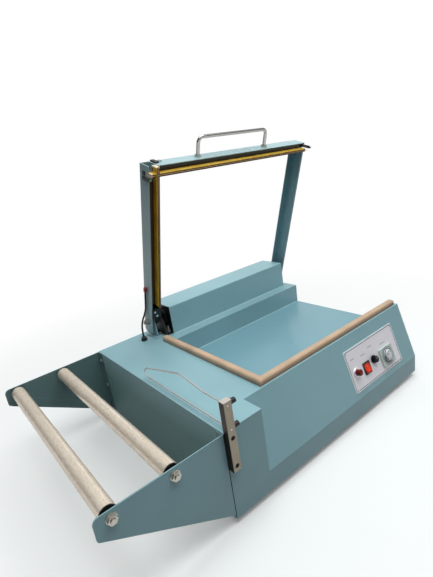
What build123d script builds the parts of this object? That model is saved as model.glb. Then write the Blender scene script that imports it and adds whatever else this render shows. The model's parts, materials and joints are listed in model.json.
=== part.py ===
from build123d import *
from math import atan2, cos, degrees, radians, sin, tan
import os

os.makedirs("parts", exist_ok=True)

# Table-top L-bar sealer: a folded steel body with a sunken work table, a film
# cradle with two rollers on its left side, and a sealing frame of channel
# section that swings on a shaft along the back. Millimetres, +Z up, the front
# faces -Y. The origin is under the middle of the whole machine, on the table top
# that the rubber feet stand on.

# Body
body_width = 600.0
body_depth = 477.0
body_height = 170.5
sheet = 1.5
foot_height = 12.0
foot_radius = 15.0
foot_inset = 48.0
foot_screw_radius = 2.5
block_width = 84.0
slope_foot_height = 41.7
slope_run = 44.4

# Sunken work table
strip_left = 148.0
strip_front = 65.5
table_length = 299.6
table_sink = 51.7
tray_flange = 9.0

# Hinge cover along the back
cover_left = 170.0
cover_end_gap = 23.0
cover_depth = 80.7
cover_height = 72.7
cover_round = 7.0
end_plate_inset = 1.0
end_plate_gap = 0.2

# Hinge line and sealing frame
hinge_from_back = 43.7
hinge_height = 41.8
open_angle = 71.0
frame_left = 125.6
frame_margin = 43.4
channel_width = 24.0
channel_above = 16.0
channel_depth = 33.3
frame_sheet = 2.0
frame_tail = 34.0
tail_round = 9.0
right_arm_width = 20.5
right_arm_lip = 6.0
shaft_diameter = 12.0
stud_diameter = 8.0
stud_length = 12.0
nut_flats = 13.0
nut_thickness = 6.5
washer_diameter = 17.0
washer_thickness = 1.6
running_fit = 0.05

# Sealing bars and their wires
bar_width = 8.0
bar_from_outside = 12.0
bar_top_drop = 10.0
bar_edge = 0.8
wire_diameter = 1.4
bar_start = 56.0
bar_end_gap = 7.0
bar_slot_play = 0.8
pad_gap = 0.3
pad_height = 12.0
pad_width = 16.0
pad_round = 5.0
pad_rear_end = 93.7
pad_right_end = 11.0
insulator_length = 16.0
insulator_width = 11.0
corner_overrun = 13.0
cap_thickness = 3.0
clamp_block = 9.0
clamp_height = 20.0
clamp_depth = 6.0
clamp_nut_flats = 10.0
clamp_stud_radius = 4.5

# Wire tensioner at the right end of the front beam
lever_width = 7.0
lever_thickness = 3.0
lever_drop = 0.8
lever_pivot_inset = 7.0
lever_reach = 27.0
lever_turn = 14.0
pin_diameter = 4.0

# Handle on the front beam
handle_span = 204.0
handle_standoff = 41.0
handle_rod = 8.0
handle_bend = 12.0
handle_tail = 8.5
handle_nut_flats = 13.0
handle_nut_thickness = 4.5

# Bearing blocks, bushes and return spring
block_thickness = 7.0
block_base_length = 64.0
block_base_width = 17.0
block_base_height = 14.0
hub_radius = 16.0
spigot_radius = 11.0
bush_wall = 2.0
block_gap = 1.9
ear_radius = 13.0
ear_thickness = 3.0
ear_inset = 8.5
ear_splay = 5.0
side_play = 0.3
ear_base = 2.0
spring_wire = 3.2
spring_radius = 21.0
spring_turns = 2.6
knuckle_start = 17.0
knuckle_end = 45.0
knuckle_lip = 3.5
knuckle_play = 0.2
knuckle_screw_radius = 3.2
block_bolt_spacing = 50.0
block_bolt_flats = 10.0
block_bolt_head = 5.0
block_stud_height = 9.0

# Film cradle
cradle_reach = 217.5
cradle_sheet = 2.0
cradle_drop = 1.5
cradle_end_height = 35.5
cradle_foot_height = 8.0
cradle_top_round = 10.0
cradle_bottom_round = 6.0
cradle_flange = 18.0
hem_width = 21.0
hem_sheet = 1.5
axle_height = 156.0
outer_axle_reach = 193.0
inner_axle_reach = 93.5
axle_diameter = 8.0
roller_diameter = 28.0
roller_wall = 1.5
roller_end_gap = 8.0
bearing_stick_out = 4.5
axle_stud = 9.0
cradle_screw_heights = (149.4, 82.9)
cradle_screw_radius = 4.0
cradle_screw_head = 2.4

# Film guide on the front left corner
post_inset = 0.8
post_width = 16.0
post_depth = 12.0
post_bottom = 100.5
post_height = 128.0
post_bevel = 0.6
post_screw_heights = (163.0, 111.0)
post_screw_bore = 4.5
post_screw_head = 8.4
post_head_depth = 6.0
guide_rod = 3.0
guide_upper = 221.0
guide_lower = 178.5
guide_rise = 10.0
guide_kink = 48.0
guide_crest = 116.0
guide_shoulder = 246.0
guide_tip = 259.0
thumb_radius = 4.5
thumb_length = 9.0
thumb_gap = 1.5

# Control plate on the slope
plate_width = 188.0
plate_height = 94.0
plate_thickness = 1.0
plate_from_right = 149.0
plate_up_slope = 60.0
plate_screw_inset = 5.0
plate_screw_radius = 2.6
lamp_place = (-73.0, -6.0)
rocker_place = (-35.5, -11.0)
knob_place = (-6.0, -3.5)
timer_place = (42.0, -14.0)
lamp_radius = 10.0
lamp_bore = 7.0
lens_radius = 7.0
lens_height = 12.0
rocker_width = 24.0
rocker_height = 27.0
rocker_rim = 3.0
knob_radius = 9.0
knob_height = 9.0
timer_width = 48.0
timer_height = 42.0
timer_face = 4.0
timer_depth = 55.0
dial_radius = 14.0
dial_height = 7.0

# Rear mains inlet
inlet_width = 50.0
inlet_height = 27.0
inlet_from_right = 80.0
inlet_rise = 45.0

# Places that follow from the sizes above
lever_end = lever_reach + 1 - lever_width / 2
right_reach = lever_end * cos(radians(lever_turn)) + lever_width / 2 - lever_pivot_inset
rear_reach = axle_stud
left = (cradle_reach - body_width - right_reach) / 2
right = left + body_width
front = (post_depth - body_depth - rear_reach) / 2
back = front + body_depth
floor = foot_height
deck = floor + body_height
table_left = left + strip_left
table_front = front + strip_front
table_back = table_front + table_length
table_top = deck - table_sink
cover_right = right - cover_end_gap
cover_front = back - cover_depth
cover_top = deck + cover_height
slope_angle = degrees(atan2(body_height - slope_foot_height, slope_run))
slope = Plane(
    origin=(right - plate_from_right, front, floor + slope_foot_height),
    x_dir=(1, 0, 0),
    z_dir=(0, -sin(radians(slope_angle)), cos(radians(slope_angle))),
)

frame_reach = body_depth - hinge_from_back - frame_margin
hinge_y = back - hinge_from_back
hinge_z = deck + hinge_height
hinge_point = Vector(0, hinge_y, hinge_z)
swing = radians(open_angle)
to_back = Vector(0, cos(swing), -sin(swing))
to_top = Vector(0, sin(swing), cos(swing))
arm_left = left + frame_left
arm_right = arm_left + channel_width
arm_middle = (arm_left + arm_right) / 2
beam_middle = frame_reach - channel_width / 2
beam_rear = frame_reach - channel_width
channel_below = channel_depth - channel_above
right_arm_left = right - right_arm_width
pad_top = deck + pad_height
nose_drop = hinge_height - pad_height - pad_gap
bar_nose_drop = nose_drop - wire_diameter
bar_right = right - bar_end_gap
bar_x = arm_left + bar_from_outside + bar_width / 2
bar_reach = frame_reach - bar_from_outside - bar_width / 2


def frame_plan(height):
    """Level with the closed frame's top, height above the hinge line."""
    return Plane(origin=hinge_point + to_top * height, x_dir=(1, 0, 0), z_dir=to_top)


def frame_side(x):
    """Across the frame at x: local x runs to the hinge's rear, local y to the frame's top."""
    return Plane(origin=(x, hinge_y, hinge_z), x_dir=to_back, z_dir=(1, 0, 0))


def frame_front(reach):
    """Facing out of the closed frame's front, reach away from the hinge line."""
    return Plane(origin=hinge_point - to_back * reach, x_dir=(1, 0, 0), z_dir=-to_back)


# Main casing: one folded shell, open underneath
with BuildPart() as main_casing:
    with BuildSketch(Plane.YZ.offset(left)):
        with BuildLine():
            Polyline((front, floor), (front, deck), (back, deck), (back, floor), close=True)
        make_face()
    extrude(amount=block_width)
    with BuildSketch(Plane.YZ.offset(left + block_width)):
        with BuildLine():
            Polyline(
                (front, floor),
                (front, floor + slope_foot_height),
                (front + slope_run, deck),
                (back, deck),
                (back, floor),
                close=True,
            )
        make_face()
    extrude(amount=body_width - block_width)
    offset(
        amount=-sheet,
        openings=main_casing.faces().sort_by(Axis.Z)[0],
        kind=Kind.INTERSECTION,
    )
    # opening for the sunken table, through the deck and the right side
    with BuildSketch(Plane.XY.offset(table_top - sheet)):
        with Locations(((table_left + right) / 2 + sheet, (table_front + table_back) / 2)):
            Rectangle(right - table_left + 2 * sheet, table_length)
    extrude(amount=table_sink + 2 * sheet, mode=Mode.SUBTRACT)
    # openings for the controls in the slope
    with BuildSketch(slope.offset(sheet)):
        with Locations((lamp_place[0], plate_up_slope + lamp_place[1])):
            Circle(lamp_bore + running_fit)
        with Locations((rocker_place[0], plate_up_slope + rocker_place[1])):
            Rectangle(rocker_width - rocker_rim, rocker_height - rocker_rim)
        with Locations((knob_place[0], plate_up_slope + knob_place[1])):
            Circle(knob_radius / 2)
        with Locations((timer_place[0], plate_up_slope + timer_place[1])):
            Rectangle(timer_width - rocker_rim, timer_height - rocker_rim)
    extrude(amount=-4 * sheet, mode=Mode.SUBTRACT)
    # mains inlet in the back
    with BuildSketch(Plane.XZ.offset(-back - sheet)):
        with Locations((right - inlet_from_right, floor + inlet_rise)):
            Rectangle(inlet_width - 20, inlet_height - 5)
    extrude(amount=3 * sheet, mode=Mode.SUBTRACT)
main_casing.part.label = "main_casing"
export_step(main_casing.part, "parts/main_casing.step")

# Work table: a tray with three walls that hangs under the deck, open at the right
with BuildPart() as work_table:
    with BuildSketch(Plane.XY.offset(table_top - sheet)):
        with Locations(((table_left - sheet + right) / 2, (table_front + table_back) / 2)):
            Rectangle(right - table_left + sheet, table_length + 2 * sheet)
    extrude(amount=table_sink)
    with BuildSketch(Plane.XY.offset(deck - 2 * sheet)):
        with Locations(((table_left - tray_flange + right - sheet) / 2, (table_front + table_back) / 2)):
            Rectangle(right - sheet - table_left + tray_flange, table_length + 2 * tray_flange)
    extrude(amount=sheet)
    with BuildSketch(Plane.XY.offset(table_top)):
        with Locations(((table_left + right) / 2 + sheet, (table_front + table_back) / 2)):
            Rectangle(right - table_left + 2 * sheet, table_length)
    extrude(amount=table_sink, mode=Mode.SUBTRACT)
    # the walls and the floor's front and rear edges stop inside the right side sheet
    with BuildSketch(Plane.XY.offset(table_top - sheet)):
        with Locations(
            (right - sheet / 2, table_front - sheet / 2),
            (right - sheet / 2, table_back + sheet / 2),
        ):
            Rectangle(sheet, sheet)
    extrude(amount=table_sink, mode=Mode.SUBTRACT)
work_table.part.label = "work_table"
export_step(work_table.part, "parts/work_table.step")

# Base plate with an upturned rim
with BuildPart() as base_plate:
    with BuildSketch(Plane.XY.offset(floor)):
        with Locations(((left + right) / 2, (front + back) / 2)):
            Rectangle(body_width - 2 * sheet, body_depth - 2 * sheet)
    extrude(amount=10)
    with BuildSketch(Plane.XY.offset(floor + sheet)):
        with Locations(((left + right) / 2, (front + back) / 2)):
            Rectangle(body_width - 4 * sheet, body_depth - 4 * sheet)
    extrude(amount=10, mode=Mode.SUBTRACT)
base_plate.part.label = "base_plate"
export_step(base_plate.part, "parts/base_plate.step")

# Rubber feet under the base plate
foot_centre = ((left + right) / 2, (front + back) / 2)
foot_grid = (body_width - 2 * foot_inset, body_depth - 2 * foot_inset, 2, 2)
with BuildPart() as rubber_feet:
    with BuildSketch(Plane.XY):
        with Locations(foot_centre):
            with GridLocations(*foot_grid):
                Circle(foot_radius)
                Circle(foot_radius / 2, mode=Mode.SUBTRACT)
    extrude(amount=foot_height / 2)
    with BuildSketch(Plane.XY.offset(foot_height / 2)):
        with Locations(foot_centre):
            with GridLocations(*foot_grid):
                Circle(foot_radius)
                Circle(foot_screw_radius, mode=Mode.SUBTRACT)
    extrude(amount=foot_height / 2)
rubber_feet.part.label = "rubber_feet"
export_step(rubber_feet.part, "parts/rubber_feet.step")

with BuildPart() as foot_screws:
    with BuildSketch(Plane.XY.offset(foot_height / 2 - 3)):
        with Locations(foot_centre):
            with GridLocations(*foot_grid):
                Circle(2 * foot_screw_radius)
    extrude(amount=3)
    with BuildSketch(Plane.XY.offset(foot_height / 2)):
        with Locations(foot_centre):
            with GridLocations(*foot_grid):
                Circle(foot_screw_radius)
    extrude(amount=foot_height / 2)
foot_screws.part.label = "foot_screws"
export_step(foot_screws.part, "parts/foot_screws.step")

# Hinge cover: one sheet bent over the shaft, its ends closed by plates set inside
with BuildPart() as hinge_cover:
    with BuildSketch(Plane.YZ.offset(left + cover_left)):
        with BuildLine():
            FilletPolyline(
                (cover_front + sheet / 2, deck),
                (cover_front + sheet / 2, cover_top - sheet / 2),
                (back - sheet / 2, cover_top - sheet / 2),
                (back - sheet / 2, deck),
                radius=cover_round - sheet / 2,
            )
        trace(line_width=sheet)
    extrude(amount=cover_right - cover_left - left)
hinge_cover.part.label = "hinge_cover"
export_step(hinge_cover.part, "parts/hinge_cover.step")

end_plate_fit = sheet + end_plate_gap
with BuildPart() as cover_end_plates:
    for x in (left + cover_left + end_plate_inset, cover_right - end_plate_inset - sheet):
        with BuildSketch(Plane.YZ.offset(x)) as plate_outline:
            with BuildLine():
                Polyline(
                    (cover_front + end_plate_fit, deck),
                    (cover_front + end_plate_fit, cover_top - end_plate_fit),
                    (back - end_plate_fit, cover_top - end_plate_fit),
                    (back - end_plate_fit, deck),
                    close=True,
                )
            make_face()
            fillet(plate_outline.vertices().group_by(Axis.Y)[-1], cover_round - end_plate_fit)
            with Locations((hinge_y, hinge_z)):
                Circle(shaft_diameter / 2 + 1.5, mode=Mode.SUBTRACT)
        extrude(amount=sheet)
cover_end_plates.part.label = "cover_end_plates"
export_step(cover_end_plates.part, "parts/cover_end_plates.step")

# Sealing pads, rounded on top and mitred where they meet
pad_left_middle = arm_middle
pad_front_middle = hinge_y - beam_middle
pad_corner = (pad_left_middle - pad_width / 2, pad_front_middle - pad_width / 2)
mitre = Plane(origin=(pad_corner[0], pad_corner[1], deck), z_dir=(-1, 1, 0))
with BuildPart() as left_pad:
    with BuildSketch(Plane.XZ.offset(-pad_corner[1])):
        with Locations((pad_left_middle, deck + pad_height / 2)):
            Rectangle(pad_width, pad_height)
    extrude(amount=-(back - pad_rear_end - pad_corner[1]))
    fillet(left_pad.edges().filter_by(Axis.Y).group_by(Axis.Z)[-1], pad_round)
    split(bisect_by=mitre, keep=Keep.TOP)
left_pad.part.label = "left_pad"
export_step(left_pad.part, "parts/left_pad.step")

with BuildPart() as front_pad:
    with BuildSketch(Plane.YZ.offset(pad_corner[0])):
        with Locations((pad_front_middle, deck + pad_height / 2)):
            Rectangle(pad_width, pad_height)
    extrude(amount=right - pad_right_end - pad_corner[0])
    fillet(front_pad.edges().filter_by(Axis.X).group_by(Axis.Z)[-1], pad_round)
    split(bisect_by=mitre, keep=Keep.BOTTOM)
front_pad.part.label = "front_pad"
export_step(front_pad.part, "parts/front_pad.step")

# Control plate and what is set in it
plate_grid = (plate_width - 2 * plate_screw_inset, plate_height - 2 * plate_screw_inset, 2, 2)
with BuildPart() as control_plate:
    with BuildSketch(slope):
        with Locations((0, plate_up_slope)):
            RectangleRounded(plate_width, plate_height, 2)
            with GridLocations(*plate_grid):
                Circle(1.5, mode=Mode.SUBTRACT)
            with Locations(lamp_place):
                Circle(lamp_bore + running_fit, mode=Mode.SUBTRACT)
            with Locations(rocker_place):
                Rectangle(rocker_width - rocker_rim, rocker_height - rocker_rim, mode=Mode.SUBTRACT)
            with Locations(knob_place):
                Circle(knob_radius / 2, mode=Mode.SUBTRACT)
            with Locations(timer_place):
                Rectangle(timer_width - rocker_rim, timer_height - rocker_rim, mode=Mode.SUBTRACT)
    extrude(amount=plate_thickness)
control_plate.part.label = "control_plate"
export_step(control_plate.part, "parts/control_plate.step")

plate_face = slope.offset(plate_thickness)
with BuildPart() as panel_screws:
    with BuildSketch(plate_face):
        with Locations((0, plate_up_slope)):
            with GridLocations(*plate_grid):
                Circle(plate_screw_radius)
    extrude(amount=1.2)
    with BuildSketch(plate_face):
        with Locations((0, plate_up_slope)):
            with GridLocations(*plate_grid):
                Circle(1.4)
    extrude(amount=-plate_thickness)
panel_screws.part.label = "panel_screws"
export_step(panel_screws.part, "parts/panel_screws.step")

lamp_at = (lamp_place[0], plate_up_slope + lamp_place[1])
with BuildPart() as lamp_bezel:
    with BuildSketch(plate_face):
        with Locations(lamp_at):
            Circle(lamp_radius)
    extrude(amount=3)
    chamfer(lamp_bezel.faces().sort_by(Axis.Y)[0].edges(), 0.8)
    with BuildSketch(plate_face):
        with Locations(lamp_at):
            Circle(lamp_bore)
    extrude(amount=-25)
    with BuildSketch(plate_face.offset(1)):
        with Locations(lamp_at):
            Circle(lens_radius)
    extrude(amount=3, mode=Mode.SUBTRACT)
lamp_bezel.part.label = "lamp_bezel"
export_step(lamp_bezel.part, "parts/lamp_bezel.step")

with BuildPart() as lamp_lens:
    with BuildSketch(plate_face.offset(1)):
        with Locations(lamp_at):
            Circle(lens_radius)
    extrude(amount=lens_height)
    fillet(lamp_lens.faces().sort_by(Axis.Y)[0].edges(), 2.5)
lamp_lens.part.label = "lamp_lens"
export_step(lamp_lens.part, "parts/lamp_lens.step")

rocker_at = (rocker_place[0], plate_up_slope + rocker_place[1])
with BuildPart() as rocker_bezel:
    with BuildSketch(plate_face):
        with Locations(rocker_at):
            RectangleRounded(rocker_width, rocker_height, 1.5)
    extrude(amount=2)
    with BuildSketch(plate_face):
        with Locations(rocker_at):
            Rectangle(rocker_width - rocker_rim - 0.4, rocker_height - rocker_rim - 0.4)
    extrude(amount=-20)
    with BuildSketch(plate_face.offset(2)):
        with Locations(rocker_at):
            Rectangle(rocker_width - 2 * rocker_rim, rocker_height - 2 * rocker_rim)
    extrude(amount=-12, mode=Mode.SUBTRACT)
rocker_bezel.part.label = "rocker_bezel"
export_step(rocker_bezel.part, "parts/rocker_bezel.step")

# The rocker key turns on pins along X, level with the plate's face
rocker_half = rocker_height / 2 - rocker_rim - 0.9
rocker_key = rocker_width - 2 * rocker_rim - 1
rocker_pin = 1.5
rocker_pin_reach = 0.3
rocker_side = Plane(
    origin=slope.from_local_coords((rocker_at[0] - rocker_key / 2, rocker_at[1], plate_thickness)),
    x_dir=slope.y_dir,
    z_dir=(1, 0, 0),
)
with BuildPart() as power_rocker:
    with BuildSketch(rocker_side):
        with BuildLine():
            Polyline(
                (-rocker_half + 1.6, -6),
                (rocker_half - 1.6, -6),
                (rocker_half - 0.4, 1.2),
                (0, 2.6),
                (-rocker_half + 0.8, 5.6),
                close=True,
            )
        make_face()
    extrude(amount=rocker_key)
    with BuildSketch(rocker_side.offset(-rocker_pin_reach)):
        Circle(rocker_pin)
    extrude(amount=rocker_key + 2 * rocker_pin_reach)
power_rocker.part.label = "power_rocker"
export_step(power_rocker.part, "parts/power_rocker.step")

knob_lift = 0.6
knob_skirt = 2.5
knob_at = (knob_place[0], plate_up_slope + knob_place[1])
with BuildPart() as time_knob:
    with BuildSketch(plate_face.offset(knob_lift)):
        with Locations(knob_at):
            Circle(knob_radius)
    extrude(amount=knob_skirt)
    with BuildSketch(plate_face.offset(knob_lift + knob_skirt)):
        with Locations(knob_at):
            Circle(knob_radius - 1.5)
            with PolarLocations(knob_radius - 1.5, 12):
                Rectangle(1.2, 0.8, mode=Mode.SUBTRACT)
    extrude(amount=knob_height - knob_skirt)
    with BuildSketch(plate_face.offset(knob_lift)):
        with Locations(knob_at):
            Circle(knob_radius / 3)
    extrude(amount=-knob_radius)
time_knob.part.label = "time_knob"
export_step(time_knob.part, "parts/time_knob.step")

timer_at = (timer_place[0], plate_up_slope + timer_place[1])
with BuildPart() as timer_housing:
    with BuildSketch(plate_face):
        with Locations(timer_at):
            RectangleRounded(timer_width, timer_height, 2)
    extrude(amount=timer_face)
    with BuildSketch(plate_face):
        with Locations(timer_at):
            Rectangle(timer_width - rocker_rim - 0.6, timer_height - rocker_rim - 0.6)
    extrude(amount=-timer_depth)
    with BuildSketch(plate_face.offset(timer_face)):
        with Locations(timer_at):
            Circle(dial_radius + 2)
    extrude(amount=-2, mode=Mode.SUBTRACT)
timer_housing.part.label = "timer_housing"
export_step(timer_housing.part, "parts/timer_housing.step")

dial_floor = timer_face - 2 + side_play
dial_step = 3.0
with BuildPart() as timer_dial:
    with BuildSketch(plate_face.offset(dial_floor)):
        with Locations(timer_at):
            Circle(dial_radius)
    extrude(amount=dial_step)
    with BuildSketch(plate_face.offset(dial_floor + dial_step)):
        with Locations(timer_at):
            Circle(dial_radius - 3)
    extrude(amount=dial_height - dial_step)
timer_dial.part.label = "timer_dial"
export_step(timer_dial.part, "parts/timer_dial.step")

# Film guide post with counterbored screws and two cross holes for the rod
post_x = left + post_inset + post_width / 2
post_y = front - post_depth / 2
guide_heights = (floor + guide_upper, floor + guide_lower)
with BuildPart() as guide_post:
    with BuildSketch(Plane.XZ.offset(-front)):
        with Locations((post_x, floor + post_bottom + post_height / 2)):
            Rectangle(post_width, post_height)
    extrude(amount=post_depth)
    chamfer(guide_post.faces().sort_by(Axis.Y)[0].edges(), post_bevel)
    with BuildSketch(Plane.XZ.offset(-front)):
        with Locations(*[(post_x, floor + h) for h in post_screw_heights]):
            Circle(post_screw_bore / 2)
    extrude(amount=post_depth, mode=Mode.SUBTRACT)
    with BuildSketch(Plane.XZ.offset(-front + post_depth)):
        with Locations(*[(post_x, floor + h) for h in post_screw_heights]):
            Circle(post_screw_head / 2)
    extrude(amount=-post_head_depth, mode=Mode.SUBTRACT)
    with BuildSketch(Plane.XZ.offset(-front)):
        with Locations(*[(post_x, z) for z in guide_heights]):
            Circle(guide_rod / 2 + running_fit)
    extrude(amount=post_depth, mode=Mode.SUBTRACT)
    with BuildSketch(Plane.YZ.offset(post_x)):
        with Locations(*[(post_y, z) for z in guide_heights]):
            Circle(2.5 + running_fit)
    extrude(amount=post_width, mode=Mode.SUBTRACT)
guide_post.part.label = "guide_post"
export_step(guide_post.part, "parts/guide_post.step")

with BuildPart() as post_screws:
    with BuildSketch(Plane.XZ.offset(-front + post_depth - post_head_depth)):
        with Locations(*[(post_x, floor + h) for h in post_screw_heights]):
            Circle(post_screw_head / 2 - 0.3)
    extrude(amount=4.5)
    with BuildSketch(Plane.XZ.offset(-front + post_depth - post_head_depth)):
        with Locations(*[(post_x, floor + h) for h in post_screw_heights]):
            Circle(post_screw_bore / 2 - 0.2)
    extrude(amount=-(post_depth - post_head_depth))
    with BuildSketch(Plane.XZ.offset(-front + post_depth - post_head_depth + 4.5)):
        with Locations(*[(post_x, floor + h) for h in post_screw_heights]):
            RegularPolygon(1.7, 6)
    extrude(amount=-2.2, mode=Mode.SUBTRACT)
post_screws.part.label = "post_screws"
export_step(post_screws.part, "parts/post_screws.step")

# Guide rod: one bent loop whose two ends slide in the post
with BuildPart() as guide_wire:
    with BuildLine(Plane.YZ.offset(post_x)):
        FilletPolyline(
            (front - post_depth, floor + guide_upper),
            (front + guide_kink, floor + guide_upper),
            (front + guide_crest, floor + guide_upper + guide_rise),
            (front + guide_shoulder, floor + guide_lower + 20.0),
            (front + guide_tip, floor + guide_lower + 7.5),
            (front + guide_shoulder - 6, floor + guide_lower),
            (front - post_depth, floor + guide_lower),
            radius=5.0,
        )
    with BuildSketch(Plane.XZ.offset(-front + post_depth)):
        with Locations((post_x, floor + guide_upper)):
            Circle(guide_rod / 2)
    sweep()
guide_wire.part.label = "guide_wire"
export_step(guide_wire.part, "parts/guide_wire.step")


def thumb_screw(height):
    """Knurled clamp screw from the post's right side on to the guide rod."""
    stem_start = post_x + guide_rod / 2 + 0.1
    head_start = post_x + post_width / 2 + thumb_gap
    with BuildPart() as screw:
        with BuildSketch(Plane.YZ.offset(stem_start)):
            with Locations((post_y, height)):
                Circle(2.5)
        extrude(amount=head_start - stem_start)
        with BuildSketch(Plane.YZ.offset(head_start)):
            with Locations((post_y, height)):
                Circle(thumb_radius)
                with PolarLocations(thumb_radius, 12):
                    Rectangle(0.9, 0.8, mode=Mode.SUBTRACT)
        extrude(amount=thumb_length)
    return screw


upper_thumb_screw = thumb_screw(guide_heights[0])
upper_thumb_screw.part.label = "upper_thumb_screw"
export_step(upper_thumb_screw.part, "parts/upper_thumb_screw.step")
lower_thumb_screw = thumb_screw(guide_heights[1])
lower_thumb_screw.part.label = "lower_thumb_screw"
export_step(lower_thumb_screw.part, "parts/lower_thumb_screw.step")

# Cradle side plates, each with a fixing flange and a folded hem along its lower edge
cradle_top = deck - cradle_drop
cradle_left = left - cradle_reach
lower_left = (cradle_left, cradle_top - cradle_end_height)
lower_right = (left, floor + cradle_foot_height)
hem_turn = atan2(lower_right[1] - lower_left[1], lower_right[0] - lower_left[0])
axle_xs = (left - outer_axle_reach, left - inner_axle_reach)
axle_z = floor + axle_height


def cradle_plate(outer_y, inward):
    """Plate whose outer face lies at outer_y; inward is +1 or -1 along Y."""
    with BuildPart() as plate:
        with BuildSketch(Plane.XZ.offset(-outer_y)) as outline:
            with BuildLine():
                Polyline(
                    (left, cradle_top),
                    (cradle_left, cradle_top),
                    lower_left,
                    lower_right,
                    close=True,
                )
            make_face()
            fillet(outline.vertices().sort_by_distance((cradle_left, cradle_top))[0], cradle_top_round)
            fillet(outline.vertices().sort_by_distance(lower_left)[0], cradle_bottom_round)
            with Locations(*[(x, axle_z) for x in axle_xs]):
                Circle(axle_diameter / 2 + running_fit, mode=Mode.SUBTRACT)
        extrude(amount=-inward * cradle_sheet)
        # hem: a strip folded up on the inside of the slanted lower edge
        with BuildSketch(Plane.XZ.offset(-outer_y - inward * cradle_sheet)):
            with BuildLine():
                Polyline(
                    (
                        lower_left[0] + cradle_bottom_round,
                        lower_left[1] + cradle_bottom_round * tan(hem_turn),
                    ),
                    (
                        lower_left[0] + cradle_bottom_round + hem_width * sin(-hem_turn),
                        lower_left[1] + cradle_bottom_round * tan(hem_turn) + hem_width * cos(hem_turn),
                    ),
                    (left - cradle_sheet - 1, lower_right[1] + hem_width / cos(hem_turn)
                     - (cradle_sheet + 1) * tan(hem_turn)),
                    (left - cradle_sheet - 1, lower_right[1] - (cradle_sheet + 1) * tan(hem_turn)),
                    close=True,
                )
            make_face()
        extrude(amount=-inward * hem_sheet)
        # flange against the body's left side
        with BuildSketch(Plane.YZ.offset(left - cradle_sheet)):
            with Locations(
                (outer_y + inward * cradle_flange / 2, (cradle_top + lower_right[1] + 4) / 2)
            ):
                Rectangle(cradle_flange, cradle_top - lower_right[1] - 4)
        extrude(amount=cradle_sheet)
        flange_middle = outer_y + inward * (cradle_flange / 2 + 1)
        with BuildSketch(Plane.YZ.offset(left - cradle_sheet)):
            with Locations(*[(flange_middle, floor + h) for h in cradle_screw_heights]):
                Circle(cradle_screw_radius / 2 + 0.1)
        extrude(amount=cradle_sheet, mode=Mode.SUBTRACT)
    return plate


cradle_front_plate = cradle_plate(front, 1)
cradle_front_plate.part.label = "cradle_front_plate"
export_step(cradle_front_plate.part, "parts/cradle_front_plate.step")
cradle_rear_plate = cradle_plate(back, -1)
cradle_rear_plate.part.label = "cradle_rear_plate"
export_step(cradle_rear_plate.part, "parts/cradle_rear_plate.step")

with BuildPart() as cradle_screws:
    screw_places = [
        (y, floor + h)
        for y in (front + cradle_flange / 2 + 1, back - cradle_flange / 2 - 1)
        for h in cradle_screw_heights
    ]
    with BuildSketch(Plane.YZ.offset(left - cradle_sheet)):
        with Locations(*screw_places):
            Circle(cradle_screw_radius)
    extrude(amount=-cradle_screw_head)
    with BuildSketch(Plane.YZ.offset(left - cradle_sheet)):
        with Locations(*screw_places):
            Circle(cradle_screw_radius / 2)
    extrude(amount=cradle_sheet)
cradle_screws.part.label = "cradle_screws"
export_step(cradle_screws.part, "parts/cradle_screws.step")

# Roller axles with nuts outside both plates
with BuildPart() as roller_axles:
    with BuildSketch(Plane.XZ.offset(-front + axle_stud)):
        with Locations(*[(x, axle_z) for x in axle_xs]):
            Circle(axle_diameter / 2)
    extrude(amount=-(body_depth + 2 * axle_stud))
roller_axles.part.label = "roller_axles"
export_step(roller_axles.part, "parts/roller_axles.step")

with BuildPart() as axle_nuts:
    for face_y, outward in ((front, 1), (back, -1)):
        with BuildSketch(Plane.XZ.offset(-face_y)):
            with Locations(*[(x, axle_z) for x in axle_xs]):
                Circle(washer_diameter / 2)
                Circle(axle_diameter / 2 + running_fit, mode=Mode.SUBTRACT)
        extrude(amount=outward * washer_thickness)
        with BuildSketch(Plane.XZ.offset(-face_y + outward * washer_thickness)):
            with Locations(*[(x, axle_z) for x in axle_xs]):
                RegularPolygon(nut_flats / 2, 6, major_radius=False)
                Circle(axle_diameter / 2 + running_fit, mode=Mode.SUBTRACT)
        extrude(amount=outward * (nut_thickness - 1.5))
axle_nuts.part.label = "axle_nuts"
export_step(axle_nuts.part, "parts/axle_nuts.step")

# Rollers: a steel tube with a plastic bearing pressed into each end
tube_front = front + cradle_sheet + roller_end_gap
tube_back = back - cradle_sheet - roller_end_gap
bore_radius = roller_diameter / 2 - roller_wall


def roller_tube(x):
    """Steel tube of one roller."""
    with BuildPart() as tube:
        with BuildSketch(Plane.XZ.offset(-tube_front)):
            with Locations((x, axle_z)):
                Circle(roller_diameter / 2)
                Circle(bore_radius, mode=Mode.SUBTRACT)
        extrude(amount=-(tube_back - tube_front))
    return tube


def roller_bearings(x):
    """Two flanged plastic bearings of one roller."""
    with BuildPart() as bearings:
        for end_y, outward in ((tube_front, 1), (tube_back, -1)):
            with BuildSketch(Plane.XZ.offset(-end_y)):
                with Locations((x, axle_z)):
                    Circle(bore_radius)
                    Circle(axle_diameter / 2 + running_fit, mode=Mode.SUBTRACT)
            extrude(amount=-outward * 14)
            with BuildSketch(Plane.XZ.offset(-end_y)):
                with Locations((x, axle_z)):
                    Circle(roller_diameter / 2 - 0.6)
                    Circle(axle_diameter / 2 + running_fit, mode=Mode.SUBTRACT)
            extrude(amount=outward * 1.5)
            with BuildSketch(Plane.XZ.offset(-end_y + outward * 1.5)):
                with Locations((x, axle_z)):
                    Circle(axle_diameter)
                    Circle(axle_diameter / 2 + running_fit, mode=Mode.SUBTRACT)
            extrude(amount=outward * (bearing_stick_out - 1.5))
    return bearings


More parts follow.
